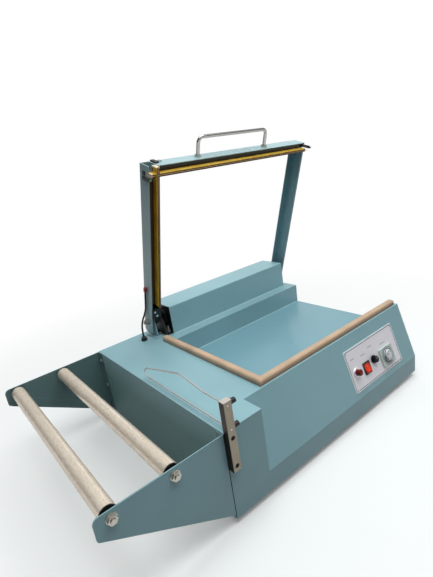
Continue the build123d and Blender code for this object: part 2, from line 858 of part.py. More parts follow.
outer_roller = roller_tube(axle_xs[0])
outer_roller.part.label = "outer_roller"
export_step(outer_roller.part, "parts/outer_roller.step")
outer_roller_bearings = roller_bearings(axle_xs[0])
outer_roller_bearings.part.label = "outer_roller_bearings"
export_step(outer_roller_bearings.part, "parts/outer_roller_bearings.step")
inner_roller = roller_tube(axle_xs[1])
inner_roller.part.label = "inner_roller"
export_step(inner_roller.part, "parts/inner_roller.step")
inner_roller_bearings = roller_bearings(axle_xs[1])
inner_roller_bearings.part.label = "inner_roller_bearings"
export_step(inner_roller_bearings.part, "parts/inner_roller_bearings.step")

# Bearing blocks for the hinge shaft; the spigot side carries the return spring
left_block_x = arm_right + block_gap
right_block_x = cover_right - sheet - 2 - block_base_width
bush_radius = shaft_diameter / 2 + bush_wall


def bearing_block(x):
    """Foot, tapered web and hub, with a spigot towards +X."""
    with BuildPart() as block:
        with BuildSketch(Plane.YZ.offset(x)):
            with BuildLine():
                Polyline(
                    (hinge_y - block_base_length / 2, deck),
                    (hinge_y - block_base_length / 2, deck + block_base_height / 2),
                    (hinge_y - hub_radius, hinge_z),
                    (hinge_y + hub_radius, hinge_z),
                    (hinge_y + block_base_length / 2, deck + block_base_height / 2),
                    (hinge_y + block_base_length / 2, deck),
                    close=True,
                )
            make_face()
            with Locations((hinge_y, hinge_z)):
                Circle(hub_radius)
        extrude(amount=block_thickness)
        with BuildSketch(Plane.XY.offset(deck)):
            with Locations((x + block_base_width / 2, hinge_y)):
                Rectangle(block_base_width, block_base_length)
        extrude(amount=block_base_height / 2)
        with BuildSketch(Plane.YZ.offset(x + block_thickness)):
            with Locations((hinge_y, hinge_z)):
                Circle(spigot_radius)
        extrude(amount=block_base_width - block_thickness)
        with BuildSketch(Plane.YZ.offset(x)):
            with Locations((hinge_y, hinge_z)):
                Circle(bush_radius)
        extrude(amount=block_base_width, mode=Mode.SUBTRACT)
    return block


left_bearing_block = bearing_block(left_block_x)
left_bearing_block.part.label = "left_bearing_block"
export_step(left_bearing_block.part, "parts/left_bearing_block.step")
right_bearing_block = bearing_block(right_block_x)
right_bearing_block.part.label = "right_bearing_block"
export_step(right_bearing_block.part, "parts/right_bearing_block.step")

with BuildPart() as bearing_bushes:
    for x in (left_block_x, right_block_x):
        with BuildSketch(Plane.YZ.offset(x)):
            with Locations((hinge_y, hinge_z)):
                Circle(bush_radius)
                Circle(shaft_diameter / 2 + running_fit, mode=Mode.SUBTRACT)
        extrude(amount=block_base_width)
bearing_bushes.part.label = "bearing_bushes"
export_step(bearing_bushes.part, "parts/bearing_bushes.step")

with BuildPart() as block_bolts:
    bolt_x = block_thickness + (block_base_width - block_thickness) / 2
    bolt_places = [
        (x + bolt_x, hinge_y + side * block_bolt_spacing / 2)
        for x in (left_block_x, right_block_x)
        for side in (-1, 1)
    ]
    with BuildSketch(Plane.XY.offset(deck + block_base_height / 2)):
        with Locations(*bolt_places):
            RegularPolygon(block_bolt_flats / 2, 6, major_radius=False, rotation=30)
    extrude(amount=block_bolt_head)
    with BuildSketch(Plane.XY.offset(deck + block_base_height / 2 + block_bolt_head)):
        with Locations(*bolt_places):
            Circle(block_bolt_flats / 4)
    extrude(amount=block_stud_height)
block_bolts.part.label = "block_bolts"
export_step(block_bolts.part, "parts/block_bolts.step")

# Hinge bracket: an ear inside the left arm's channel, on a base that passes under the arm
ear_left = arm_left + ear_inset
base_right = left_block_x - 1
with BuildPart() as hinge_bracket:
    with BuildSketch(Plane.YZ.offset(ear_left)):
        with BuildLine():
            Polyline(
                (hinge_y - ear_radius - ear_splay, deck),
                (hinge_y - ear_radius, hinge_z),
                (hinge_y + ear_radius, hinge_z),
                (hinge_y + ear_radius, deck),
                close=True,
            )
        make_face()
        with Locations((hinge_y, hinge_z)):
            Circle(ear_radius)
            Circle(shaft_diameter / 2 + running_fit, mode=Mode.SUBTRACT)
    extrude(amount=ear_thickness)
    with BuildSketch(Plane.XY.offset(deck)):
        with Locations(((arm_left + base_right) / 2, hinge_y)):
            Rectangle(base_right - arm_left, 4 * ear_radius)
    extrude(amount=ear_base)
hinge_bracket.part.label = "hinge_bracket"
export_step(hinge_bracket.part, "parts/hinge_bracket.step")

bracket_bolt_x = base_right - block_bolt_flats / 2
bracket_bolt_places = [
    (bracket_bolt_x, hinge_y - ear_radius + 1),
    (bracket_bolt_x, hinge_y + ear_radius - 1),
]
with BuildPart() as bracket_bolts:
    with BuildSketch(Plane.XY.offset(deck + ear_base)):
        with Locations(*bracket_bolt_places):
            RegularPolygon(block_bolt_flats / 2 - 1, 6, major_radius=False)
    extrude(amount=block_bolt_head)
    with BuildSketch(Plane.XY.offset(deck + ear_base + block_bolt_head)):
        with Locations(*bracket_bolt_places):
            Circle(block_bolt_flats / 4)
    extrude(amount=2)
bracket_bolts.part.label = "bracket_bolts"
export_step(bracket_bolts.part, "parts/bracket_bolts.step")

# Return spring: torsion coil round the left block's spigot, its leg down on the foot
spring_x = left_block_x + block_thickness + spring_wire / 2 + 0.4
with BuildPart() as return_spring:
    with BuildLine() as coil:
        Helix(
            pitch=spring_wire + 0.2,
            height=spring_turns * (spring_wire + 0.2) - 0.8,
            radius=spring_radius,
            center=(spring_x, hinge_y, hinge_z),
            direction=(1, 0, 0),
        )
    with BuildSketch(Plane(origin=coil.line @ 0, z_dir=coil.line % 0)):
        RegularPolygon(spring_wire / 2, 8)
    sweep(is_frenet=True)
return_spring.part.label = "return_spring"
export_step(return_spring.part, "parts/return_spring.step")

# Hinge shaft with threaded ends, turning with the frame
shaft_left = arm_left
shaft_right = right
with BuildPart() as hinge_shaft:
    with BuildSketch(Plane.YZ.offset(shaft_left)):
        with Locations((hinge_y, hinge_z)):
            Circle(shaft_diameter / 2)
    extrude(amount=shaft_right - shaft_left)
    with BuildSketch(Plane.YZ.offset(shaft_left - stud_length)):
        with Locations((hinge_y, hinge_z)):
            Circle(stud_diameter / 2)
    extrude(amount=shaft_right - shaft_left + 2 * stud_length)
hinge_shaft.part.label = "hinge_shaft"
export_step(hinge_shaft.part, "parts/hinge_shaft.step")

with BuildPart() as shaft_nuts:
    for x, outward in ((shaft_left, -1), (shaft_right, 1)):
        with BuildSketch(Plane.YZ.offset(x)):
            with Locations((hinge_y, hinge_z)):
                Circle(washer_diameter / 2)
                Circle(stud_diameter / 2 + running_fit, mode=Mode.SUBTRACT)
        extrude(amount=outward * washer_thickness)
        with BuildSketch(Plane.YZ.offset(x + outward * washer_thickness)):
            with Locations((hinge_y, hinge_z)):
                RegularPolygon(nut_flats / 2, 6, major_radius=False)
                Circle(stud_diameter / 2 + running_fit, mode=Mode.SUBTRACT)
        extrude(amount=outward * nut_thickness)
shaft_nuts.part.label = "shaft_nuts"
export_step(shaft_nuts.part, "parts/shaft_nuts.step")

# Sealing frame: left arm, front beam and right arm of folded channel
tail_end = -frame_tail
with BuildPart() as left_arm:
    with BuildSketch(frame_front(tail_end)):
        with Locations((arm_middle, channel_above - channel_depth / 2)):
            Rectangle(channel_width, channel_depth)
        with Locations((arm_middle, channel_above - channel_depth / 2 - frame_sheet)):
            Rectangle(channel_width - 2 * frame_sheet, channel_depth, mode=Mode.SUBTRACT)
    extrude(amount=frame_reach - tail_end)
    # round the hinge only the outer wall goes on
    with BuildSketch(frame_side(arm_left + frame_sheet)):
        with Locations(((frame_tail - knuckle_start) / 2 + 1, channel_above - channel_depth / 2)):
            Rectangle(frame_tail + knuckle_start + 2, channel_depth + 2)
    extrude(amount=channel_width, mode=Mode.SUBTRACT)
    fillet(left_arm.edges().filter_by(Axis.X).sort_by(Axis.Z)[:2], tail_round)
    with BuildSketch(frame_side(arm_left - 1)):
        Circle(shaft_diameter / 2 + running_fit)
    extrude(amount=frame_sheet + 2, mode=Mode.SUBTRACT)
    # slot through both walls for the front bar
    with BuildSketch(frame_side(arm_left - frame_sheet)):
        with Locations((-bar_reach, -(bar_top_drop - bar_slot_play + channel_below + 1) / 2)):
            Rectangle(bar_width + 2 * bar_slot_play, channel_below + 1 - bar_top_drop + bar_slot_play)
    extrude(amount=channel_width + 2 * frame_sheet, mode=Mode.SUBTRACT)
left_arm.part.label = "left_arm"
export_step(left_arm.part, "parts/left_arm.step")

# Hinge knuckle: black casting in the arm's channel, with a lip over its edges and a hub on the shaft
knuckle_inside = channel_width - 2 * (frame_sheet + knuckle_play)
hub_left = ear_left + ear_thickness + 1.5
hub_right = arm_right - frame_sheet - knuckle_play
knuckle_hub = channel_above - frame_sheet - 1
with BuildPart() as hinge_knuckle:
    with BuildSketch(frame_front(knuckle_start + side_play)):
        with Locations((arm_middle, (channel_above - frame_sheet - knuckle_play - channel_below) / 2)):
            Rectangle(knuckle_inside, channel_above - frame_sheet - knuckle_play + channel_below)
        with Locations((arm_middle + 0.5, -channel_below - knuckle_lip / 2)):
            Rectangle(channel_width + 0.5, knuckle_lip)
    extrude(amount=knuckle_end - knuckle_start - side_play)
    with BuildSketch(frame_side(hub_left)):
        Circle(knuckle_hub)
        with Locations((-knuckle_start / 2, 0)):
            Rectangle(knuckle_start + 2, 2 * knuckle_hub)
        Circle(shaft_diameter / 2 + running_fit, mode=Mode.SUBTRACT)
    extrude(amount=hub_right - hub_left)
hinge_knuckle.part.label = "hinge_knuckle"
export_step(hinge_knuckle.part, "parts/hinge_knuckle.step")

handle_xs = (
    (arm_left + right - handle_span) / 2,
    (arm_left + right + handle_span) / 2,
)
with BuildPart() as front_beam:
    with BuildSketch(frame_side(arm_right)):
        with Locations((-beam_middle, channel_above - channel_depth / 2)):
            Rectangle(channel_width, channel_depth)
        with Locations((-beam_middle, channel_above - channel_depth / 2 - frame_sheet)):
            Rectangle(channel_width - 2 * frame_sheet, channel_depth, mode=Mode.SUBTRACT)
    extrude(amount=right - arm_right)
    with BuildSketch(frame_front(frame_reach)):
        with Locations(*[(x, 0) for x in handle_xs]):
            Circle(handle_rod / 2 + running_fit)
    extrude(amount=-frame_sheet, mode=Mode.SUBTRACT)
front_beam.part.label = "front_beam"
export_step(front_beam.part, "parts/front_beam.step")

with BuildPart() as right_arm:
    with BuildSketch(frame_front(-frame_tail)):
        with BuildLine():
            Polyline(
                (right_arm_left, channel_above),
                (right, channel_above),
                (right, -channel_below),
                (right - right_arm_lip, -channel_below),
                (right - right_arm_lip, -channel_below + frame_sheet),
                (right - frame_sheet, -channel_below + frame_sheet),
                (right - frame_sheet, channel_above - frame_sheet),
                (right_arm_left, channel_above - frame_sheet),
                close=True,
            )
        make_face()
    extrude(amount=frame_tail + beam_rear)
    with BuildSketch(frame_side(right - frame_sheet)):
        Circle(shaft_diameter / 2 + running_fit)
    extrude(amount=frame_sheet, mode=Mode.SUBTRACT)
right_arm.part.label = "right_arm"
export_step(right_arm.part, "parts/right_arm.step")


def bar_outline(across):
    """Closed outline of a sealing bar about the local x position across, its nose edges broken."""
    half = bar_width / 2
    Polyline(
        (across - half, -bar_top_drop),
        (across + half, -bar_top_drop),
        (across + half, -bar_nose_drop + bar_edge),
        (across + half - bar_edge, -bar_nose_drop),
        (across - half + bar_edge, -bar_nose_drop),
        (across - half, -bar_nose_drop + bar_edge),
        close=True,
    )


with BuildPart() as left_seal_bar:
    with BuildSketch(frame_front(bar_start)):
        with BuildLine():
            bar_outline(bar_x)
        make_face()
    extrude(amount=bar_reach + corner_overrun - bar_start)
left_seal_bar.part.label = "left_seal_bar"
export_step(left_seal_bar.part, "parts/left_seal_bar.step")

# The front bar is cut where the left bar passes through it
with BuildPart() as front_seal_bar:
    with BuildSketch(frame_side(bar_x - corner_overrun)):
        with BuildLine():
            bar_outline(-bar_reach)
        make_face()
    extrude(amount=bar_right - bar_x + corner_overrun)
    with BuildSketch(frame_plan(1 - bar_top_drop)):
        with Locations((bar_x, -bar_reach)):
            Rectangle(bar_width, 2 * bar_width)
    extrude(amount=-bar_nose_drop, mode=Mode.SUBTRACT)
front_seal_bar.part.label = "front_seal_bar"
export_step(front_seal_bar.part, "parts/front_seal_bar.step")

wire_drop = bar_nose_drop + wire_diameter / 2
wire_overrun = corner_overrun + cap_thickness + 1
wire_tail = 5.0
with BuildPart() as seal_wires:
    with BuildSketch(frame_front(bar_start - wire_tail)):
        with Locations((bar_x, -wire_drop)):
            Circle(wire_diameter / 2)
    extrude(amount=bar_reach + wire_overrun - bar_start + wire_tail)
    with BuildSketch(frame_side(bar_x - wire_overrun)):
        with Locations((-bar_reach, -wire_drop)):
            Circle(wire_diameter / 2)
    extrude(amount=bar_right - bar_x + wire_overrun + wire_tail)
seal_wires.part.label = "seal_wires"
export_step(seal_wires.part, "parts/seal_wires.step")

# Cream insulating caps on the two bars' ends at the corner
with BuildPart() as corner_caps:
    with BuildSketch(frame_front(bar_reach + corner_overrun)):
        with BuildLine():
            bar_outline(bar_x)
        make_face()
    extrude(amount=cap_thickness)
    with BuildSketch(frame_side(bar_x - corner_overrun)):
        with BuildLine():
            bar_outline(-bar_reach)
        make_face()
    extrude(amount=-cap_thickness)
corner_caps.part.label = "corner_caps"
export_step(corner_caps.part, "parts/corner_caps.step")

# Insulating blocks that hold the bars under the channel webs
insulator_margin = 25.0
left_insulator_reaches = (
    bar_start + insulator_margin,
    (bar_start + beam_rear) / 2,
    beam_rear - insulator_margin,
)
front_insulator_xs = (
    arm_right + insulator_margin,
    (handle_xs[0] + handle_xs[1]) / 2,
    bar_right - 2 * insulator_margin,
)
insulator_height = channel_above - frame_sheet + bar_top_drop
with BuildPart() as bar_insulators:
    with BuildSketch(frame_plan(-bar_top_drop)):
        with Locations(*[(bar_x, -reach) for reach in left_insulator_reaches]):
            Rectangle(insulator_width, insulator_length)
        with Locations(*[(x, -bar_reach) for x in front_insulator_xs]):
            Rectangle(insulator_length, insulator_width)
    extrude(amount=insulator_height)
bar_insulators.part.label = "bar_insulators"
export_step(bar_insulators.part, "parts/bar_insulators.step")

# Corner clamp: a black block on the beam's face, and a terminal and a clip on the left arm
clamp_x = arm_right + side_play + clamp_block / 2
clamp_up = channel_above - clamp_height / 2
clip_reach = beam_rear - 2.6
clip_length = 22.0
clip_width = 6.0
with BuildPart() as corner_clamp:
    with BuildSketch(frame_front(frame_reach)):
        with Locations((clamp_x, clamp_up)):
            Rectangle(clamp_block, clamp_height)
    extrude(amount=clamp_depth / 2)
    with BuildSketch(frame_side(arm_left)):
        with Locations((-bar_reach, 0)):
            Circle(clamp_stud_radius)
    extrude(amount=-frame_sheet)
    with BuildSketch(frame_side(arm_left)):
        with Locations((-clip_reach, clip_width / 2 - clip_length / 2)):
            Rectangle(clip_width, clip_length)
    extrude(amount=-clamp_depth / 2)
corner_clamp.part.label = "corner_clamp"
export_step(corner_clamp.part, "parts/corner_clamp.step")

clamp_bit_at = (-clip_reach - clip_width / 2 - clamp_stud_radius / 2, 2 * clip_width - clamp_stud_radius)
knuckle_screw_places = (
    (arm_left + channel_width / 4, knuckle_end - 2 * knuckle_screw_radius),
    (arm_middle, knuckle_start + 3 * knuckle_screw_radius),
)
with BuildPart() as clamp_screws:
    with BuildSketch(frame_front(frame_reach)):
        with Locations((clamp_x + clamp_block / 2 + clamp_nut_flats / 2 + side_play, channel_above / 4)):
            RegularPolygon(clamp_nut_flats / 2 - side_play, 6, major_radius=False, rotation=30)
    extrude(amount=clamp_depth / 2)
    with BuildSketch(frame_side(arm_left)):
        with Locations(clamp_bit_at):
            RegularPolygon(clamp_stud_radius / 2, 6)
    extrude(amount=-frame_sheet)
    with BuildSketch(frame_plan(-channel_below - knuckle_lip)):
        with Locations(*[(x, -reach) for x, reach in knuckle_screw_places]):
            Circle(knuckle_screw_radius)
    extrude(amount=-frame_sheet)
clamp_screws.part.label = "clamp_screws"
export_step(clamp_screws.part, "parts/clamp_screws.step")

# Wire tensioner: pivot block in the beam's open end and a hooked lever
pivot_x = right - lever_pivot_inset
pivot_depth = bar_from_outside - frame_sheet - 1
pivot_reach = frame_reach - frame_sheet - pivot_depth / 2
with BuildPart() as pivot_block:
    with BuildSketch(frame_plan(-channel_below + 1)):
        with Locations((pivot_x, -pivot_reach)):
            Rectangle(lever_pivot_inset + 5, pivot_depth)
    extrude(amount=channel_depth - frame_sheet - 1)
    with BuildSketch(frame_plan(-channel_below + 1)):
        with Locations((pivot_x, -pivot_reach)):
            Circle(pin_diameter / 2)
    extrude(amount=-(lever_drop + lever_thickness + 3.2))
pivot_block.part.label = "pivot_block"
export_step(pivot_block.part, "parts/pivot_block.step")

lever_axis = Plane(
    origin=frame_plan(0).from_local_coords((pivot_x, -pivot_reach, 0)),
    x_dir=Vector(1, 0, 0) * cos(radians(lever_turn)) + to_back * sin(radians(lever_turn)),
    z_dir=to_top,
)
with BuildPart() as tension_lever:
    with BuildSketch(lever_axis.offset(-channel_below - lever_drop - lever_thickness)):
        with Locations((lever_reach / 2 - 1, 0)):
            SlotOverall(lever_reach + 4, lever_width)
        Circle(pin_diameter / 2 + running_fit, mode=Mode.SUBTRACT)
    extrude(amount=lever_thickness)
    with BuildSketch(lever_axis.offset(-channel_below - lever_drop - lever_thickness)):
        with Locations((lever_reach - 3, 0)):
            Circle(2)
    extrude(amount=-5)
tension_lever.part.label = "tension_lever"
export_step(tension_lever.part, "parts/tension_lever.step")

# Handle: one bent rod through the beam's front flange, held by nuts on both sides
with BuildPart() as handle:
    with BuildLine(frame_plan(0)):
        FilletPolyline(
            (handle_xs[0], -(frame_reach - handle_tail)),
            (handle_xs[0], -(frame_reach + handle_standoff)),
            (handle_xs[1], -(frame_reach + handle_standoff)),
            (handle_xs[1], -(frame_reach - handle_tail)),
            radius=handle_bend,
        )
    with BuildSketch(frame_front(frame_reach - handle_tail)):
        with Locations((handle_xs[0], 0)):
            Circle(handle_rod / 2)
    sweep()
handle.part.label = "handle"
export_step(handle.part, "parts/handle.step")

with BuildPart() as handle_nuts:
    for reach, outward in ((frame_reach, 1), (frame_reach - frame_sheet, -1)):
        with BuildSketch(frame_front(reach)):
            with Locations(*[(x, 0) for x in handle_xs]):
                RegularPolygon(handle_nut_flats / 2, 6, major_radius=False)
                Circle(handle_rod / 2 + running_fit, mode=Mode.SUBTRACT)
        extrude(amount=outward * handle_nut_thickness)
handle_nuts.part.label = "handle_nuts"
export_step(handle_nuts.part, "parts/handle_nuts.step")

# Lead from the deck to the left arm: gland, boot on the arm and the lead itself
boot_reach = 88.0
boot_length = 10.0
boot_radius = 3.5
boot_rise = 4.4
lead_diameter = 4.4
lead_end_gap = 0.1
gland_x = arm_left - 22.1
gland_y = hinge_y - 2.3
gland_height = 10.0
with BuildPart() as lead_gland:
    with BuildSketch(Plane.XY.offset(deck)):
        with Locations((gland_x, gland_y)):
            RegularPolygon(8.5, 6)
    extrude(amount=4)
    with BuildSketch(Plane.XY.offset(deck + 4)):
        with Locations((gland_x, gland_y)):
            Circle(6)
    extrude(amount=gland_height - 4)
    chamfer(lead_gland.faces().sort_by(Axis.Z)[-1].edges(), 1.5)
lead_gland.part.label = "lead_gland"
export_step(lead_gland.part, "parts/lead_gland.step")

lead_x = arm_left - boot_radius
with BuildPart() as lead_boot:
    with BuildSketch(frame_front(boot_reach)):
        with Locations((lead_x, boot_rise)):
            RectangleRounded(2 * boot_radius, 2 * boot_radius + 1, 2)
    extrude(amount=boot_length)
lead_boot.part.label = "lead_boot"
export_step(lead_boot.part, "parts/lead_boot.step")

lead_end = frame_front(boot_reach - lead_end_gap).from_local_coords((lead_x, boot_rise, 0))
lead_straight = frame_front(boot_reach - 18).from_local_coords((lead_x, boot_rise, 0))
lead_route = [
    (gland_x, gland_y, deck + gland_height),
    (gland_x, gland_y, deck + 22),
    (gland_x + 5, gland_y + 8.5, deck + 32.5),
    (gland_x + 12, gland_y + 14.3, deck + 44),
    (gland_x + 16.8, gland_y + 6, deck + 60.5),
    (gland_x + 18.4, gland_y - 4, deck + 76.5),
    (lead_x, gland_y - 11, deck + 93),
    (lead_straight.X, lead_straight.Y, lead_straight.Z),
    (lead_end.X, lead_end.Y, lead_end.Z),
]


def lead_radii(points):
    """Largest tangent arcs that each pair of runs leaves room for."""
    radii = []
    for a, b, c in zip(points, points[1:], points[2:]):
        first = Vector(*b) - Vector(*a)
        second = Vector(*c) - Vector(*b)
        turn = radians(first.get_angle(second))
        radii.append(0.45 * min(first.length, second.length) / tan(turn / 2))
    return radii


print("lead radii", [round(r, 1) for r in lead_radii(lead_route)])
with BuildPart() as arm_lead:
    with BuildLine() as lead_line:
        FilletPolyline(*lead_route, radius=lead_radii(lead_route))
    with BuildSketch(Plane(origin=lead_line.line @ 0, z_dir=lead_line.line % 0)):
        Circle(lead_diameter / 2)
    sweep()
arm_lead.part.label = "arm_lead"
export_step(arm_lead.part, "parts/arm_lead.step")

# Mains inlet in the back
inlet_at = (right - inlet_from_right, floor + inlet_rise)
with BuildPart() as mains_inlet:
    with BuildSketch(Plane.XZ.offset(-back)):
        with Locations(inlet_at):
            RectangleRounded(inlet_width, inlet_height, 3)
    extrude(amount=-3)
    with BuildSketch(Plane.XZ.offset(-back)):
        with Locations(inlet_at):
            Rectangle(inlet_width - 20.4, inlet_height - 5.4)
    extrude(amount=20)
    with BuildSketch(Plane.XZ.offset(-back - 3)):
        with Locations(inlet_at):
            RectangleRounded(24, 16.5, 2)
    extrude(amount=18, mode=Mode.SUBTRACT)
    with BuildSketch(Plane.XZ.offset(-back + 15)):
        with Locations(inlet_at):
            with Locations((-7, -1), (0, 3), (7, -1)):
                Rectangle(1.9, 4)
    extrude(amount=-14)
mains_inlet.part.label = "mains_inlet"
export_step(mains_inlet.part, "parts/mains_inlet.step")
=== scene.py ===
import json
import math

import bmesh
import bpy
from mathutils import Matrix, Vector


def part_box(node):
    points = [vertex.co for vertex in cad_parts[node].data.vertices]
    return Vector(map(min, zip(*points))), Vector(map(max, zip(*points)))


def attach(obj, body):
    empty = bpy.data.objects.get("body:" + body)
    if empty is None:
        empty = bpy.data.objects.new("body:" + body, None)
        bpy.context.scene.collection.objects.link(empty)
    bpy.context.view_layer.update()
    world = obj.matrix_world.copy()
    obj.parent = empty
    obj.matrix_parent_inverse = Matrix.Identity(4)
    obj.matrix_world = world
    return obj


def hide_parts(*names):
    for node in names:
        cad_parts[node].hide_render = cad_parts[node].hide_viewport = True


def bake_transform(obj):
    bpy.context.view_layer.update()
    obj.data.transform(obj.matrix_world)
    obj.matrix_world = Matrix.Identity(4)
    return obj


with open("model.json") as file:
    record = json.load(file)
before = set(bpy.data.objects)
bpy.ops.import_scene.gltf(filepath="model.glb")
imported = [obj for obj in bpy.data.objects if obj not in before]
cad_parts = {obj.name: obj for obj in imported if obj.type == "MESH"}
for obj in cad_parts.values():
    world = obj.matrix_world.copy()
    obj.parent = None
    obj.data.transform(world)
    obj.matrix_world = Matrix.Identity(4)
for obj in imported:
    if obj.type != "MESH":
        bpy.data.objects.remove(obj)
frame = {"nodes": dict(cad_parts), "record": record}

scene = bpy.context.scene
nodes = frame["nodes"]
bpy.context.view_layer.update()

# ---------------------------------------------------------------- places, in metres
MM = 0.001
X, Y, Z = Vector((1, 0, 0)), Vector((0, 1, 0)), Vector((0, 0, 1))
TO_FRONT = Vector((0, -1, 0))
(LEFT, FRONT, FLOOR), (RIGHT, BACK, DECK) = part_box("main_casing")
COVER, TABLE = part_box("hinge_cover"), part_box("work_table")
TABLE_SINK = 51.7  # mm from the deck down to the table's floor
TABLE_TOP = DECK - TABLE_SINK * MM
ARM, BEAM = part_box("left_arm")[0].x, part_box("front_beam")[1].x
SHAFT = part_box("hinge_shaft")
HINGE = Vector((0, (SHAFT[0].y + SHAFT[1].y) / 2, (SHAFT[0].z + SHAFT[1].z) / 2))

# the sealing frame stands open at rest: these turn with it, and point back and up once it closes
OPEN_ANGLE = math.radians(71)
TO_BACK = Vector((0, math.cos(OPEN_ANGLE), -math.sin(OPEN_ANGLE)))
TO_TOP = Vector((0, math.sin(OPEN_ANGLE), math.cos(OPEN_ANGLE)))

# the casing's sloping front, which carries the control plate
SLOPE_RUN, SLOPE_RISE = 44.4, 128.8
PLATE_MIDDLE, SLOPE_FOOT = 451, 41.7  # mm from the casing's left side, and above its floor
SLOPE = math.atan2(SLOPE_RISE, SLOPE_RUN)
SLOPE_AT = Vector((LEFT + PLATE_MIDDLE * MM, FRONT, FLOOR + SLOPE_FOOT * MM))
SLOPE_UP = Vector((0, math.cos(SLOPE), math.sin(SLOPE)))
SLOPE_OUT = Vector((0, -math.sin(SLOPE), math.cos(SLOPE)))


def on_frame(x, reach, up):
    """Point of the sealing frame: x, reach from the hinge line, height above it when closed; mm."""
    return HINGE + Vector((x * MM, 0, 0)) - TO_BACK * reach * MM + TO_TOP * up * MM


def on_slope(u, v, w):
    """Point of the control plate: across, up the slope from its foot and out of it; mm."""
    return SLOPE_AT + Vector((u * MM, 0, 0)) + SLOPE_UP * v * MM + SLOPE_OUT * w * MM


# ---------------------------------------------------------------- camera, fitted to the photograph
FOCAL_PX, IMAGE_HEIGHT, SENSOR = 411.2005, 577, 36.0
EYE = Vector((-0.299335, -0.447198, 0.575770)) + Vector((LEFT, FRONT, FLOOR))
VIEW_RIGHT = Vector((0.767736, -0.623807, -0.146446))
VIEW_DOWN = Vector((-0.301347, -0.149807, -0.941673))
VIEW_AHEAD = Vector((0.565483, 0.767087, -0.302995))
cam_data = bpy.data.cameras.new("camera")
cam_data.sensor_fit = "VERTICAL"
cam_data.sensor_height = cam_data.sensor_width = SENSOR
cam_data.lens = FOCAL_PX / IMAGE_HEIGHT * SENSOR
cam_data.clip_start = 0.01
cam_data.clip_end = 60
cam = bpy.data.objects.new("camera", cam_data)
scene.collection.objects.link(cam)
scene.camera = cam
basis = Matrix((VIEW_RIGHT, -VIEW_DOWN, -VIEW_AHEAD)).transposed().to_4x4()
cam.matrix_world = Matrix.Translation(EYE) @ basis

# ---------------------------------------------------------------- lead between deck and arm, mm
LEAD_DIAMETER = 4.4
LEAD = [
    (-97.8861, 194.0, 192.5),
    (-97.8861, 194.0, 204.5),
    (-92.8861, 202.5, 215.0),
    (-85.8861, 208.3, 226.5),
    (-81.0861, 200.0, 243.0),
    (-79.4861, 190.0, 259.0),
    (-79.2861, 183.0, 275.5),
    (-79.2861, 177.6705, 291.9188),
    (-79.2861, 171.8428, 308.8436),
]


def route_mesh(points):
    """Points of the smooth line that has these control points."""
    c = bpy.data.curves.new("route", "CURVE")
    c.dimensions = "3D"
    s = c.splines.new("NURBS")
    s.points.add(len(points) - 1)
    for p, q in zip(s.points, points):
        p.co = (*q, 1)
    s.order_u = 3
    s.use_endpoint_u = True
    s.resolution_u = 12
    o = bpy.data.objects.new("route", c)
    scene.collection.objects.link(o)
    m = bpy.data.meshes.new_from_object(o)
    out = [v.co.copy() for v in m.vertices]
    bpy.data.objects.remove(o)
    bpy.data.meshes.remove(m)
    return out


# ---------------------------------------------------------------- mesh helpers
def add(name, bm, mat, body=None, smooth=40):
    """New object from a bmesh; rides on body. smooth is the sharpest soft angle, 0 for flat."""
    me = bpy.data.meshes.new(name)
    bmesh.ops.remove_doubles(bm, verts=bm.verts, dist=1e-7)
    bmesh.ops.recalc_face_normals(bm, faces=bm.faces)
    bm.to_mesh(me)
    bm.free()
    o = bpy.data.objects.new(name, me)
    scene.collection.objects.link(o)
    me.materials.append(mat)
    if smooth:
        for p in me.polygons:
            p.use_smooth = True
        me.set_sharp_from_angle(angle=math.radians(smooth))
    if body:
        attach(o, body)
    return o


def arc_points(centre, x, y, radius, start, sweep, count):
    """count points of an arc in the plane of x and y; angles in radians, radius in mm."""
    angles = (start + sweep * i / count for i in range(count))
    return [centre + (x * math.cos(a) + y * math.sin(a)) * radius * MM for a in angles]


def tube(bm, points, radius, n=14, closed=False):
    """Adds a round bar along points; radius in mm, a number or one for each point."""
    rings = []
    up = None
    count = len(points)
    for i, p in enumerate(points):
        a = points[i - 1] if (i > 0 or closed) else p
        b = points[(i + 1) % count] if (i < count - 1 or closed) else p
        t = (b - a).normalized()
        if up is None:
            up = t.orthogonal().normalized()
        up = (up - t * up.dot(t)).normalized()
        r = radius[i] if isinstance(radius, (list, tuple)) else radius
        ring = arc_points(p, up, t.cross(up), r, 0.0, math.tau, n)
        rings.append([bm.verts.new(q) for q in ring])
    for a, b in zip(rings, rings[1:] + ([rings[0]] if closed else [])):
        for k in range(n):
            j = (k + 1) % n
            bm.faces.new((a[k], a[j], b[j], b[k]))
    if not closed:
        bm.faces.new(rings[0])
        bm.faces.new(rings[-1])


def place(bm, part, at, x, y, z):
    """Moves the geometry of part into bm: its origin to the point at, its axes to x, y, z."""
    m = Matrix((x, y, z)).transposed().to_4x4()
    m.translation = at
    part.transform(m)
    me = bpy.data.meshes.new("tmp")
    part.to_mesh(me)
    part.free()
    bm.from_mesh(me)
    bpy.data.meshes.remove(me)


def block(bm, at, x, y, z, size, chamfer):
    """Adds a box with chamfered edges; x, y, z are its axes, size its three lengths in mm."""
    part = bmesh.new()
    bmesh.ops.create_cube(part, size=1)
    for v in part.verts:
        v.co = Vector([v.co[i] * size[i] * MM for i in range(3)])
    bmesh.ops.bevel(
        part, geom=part.edges[:], offset=chamfer * MM, segments=1, profile=0.5, affect="EDGES"
    )
    place(bm, part, at, x, y, z)


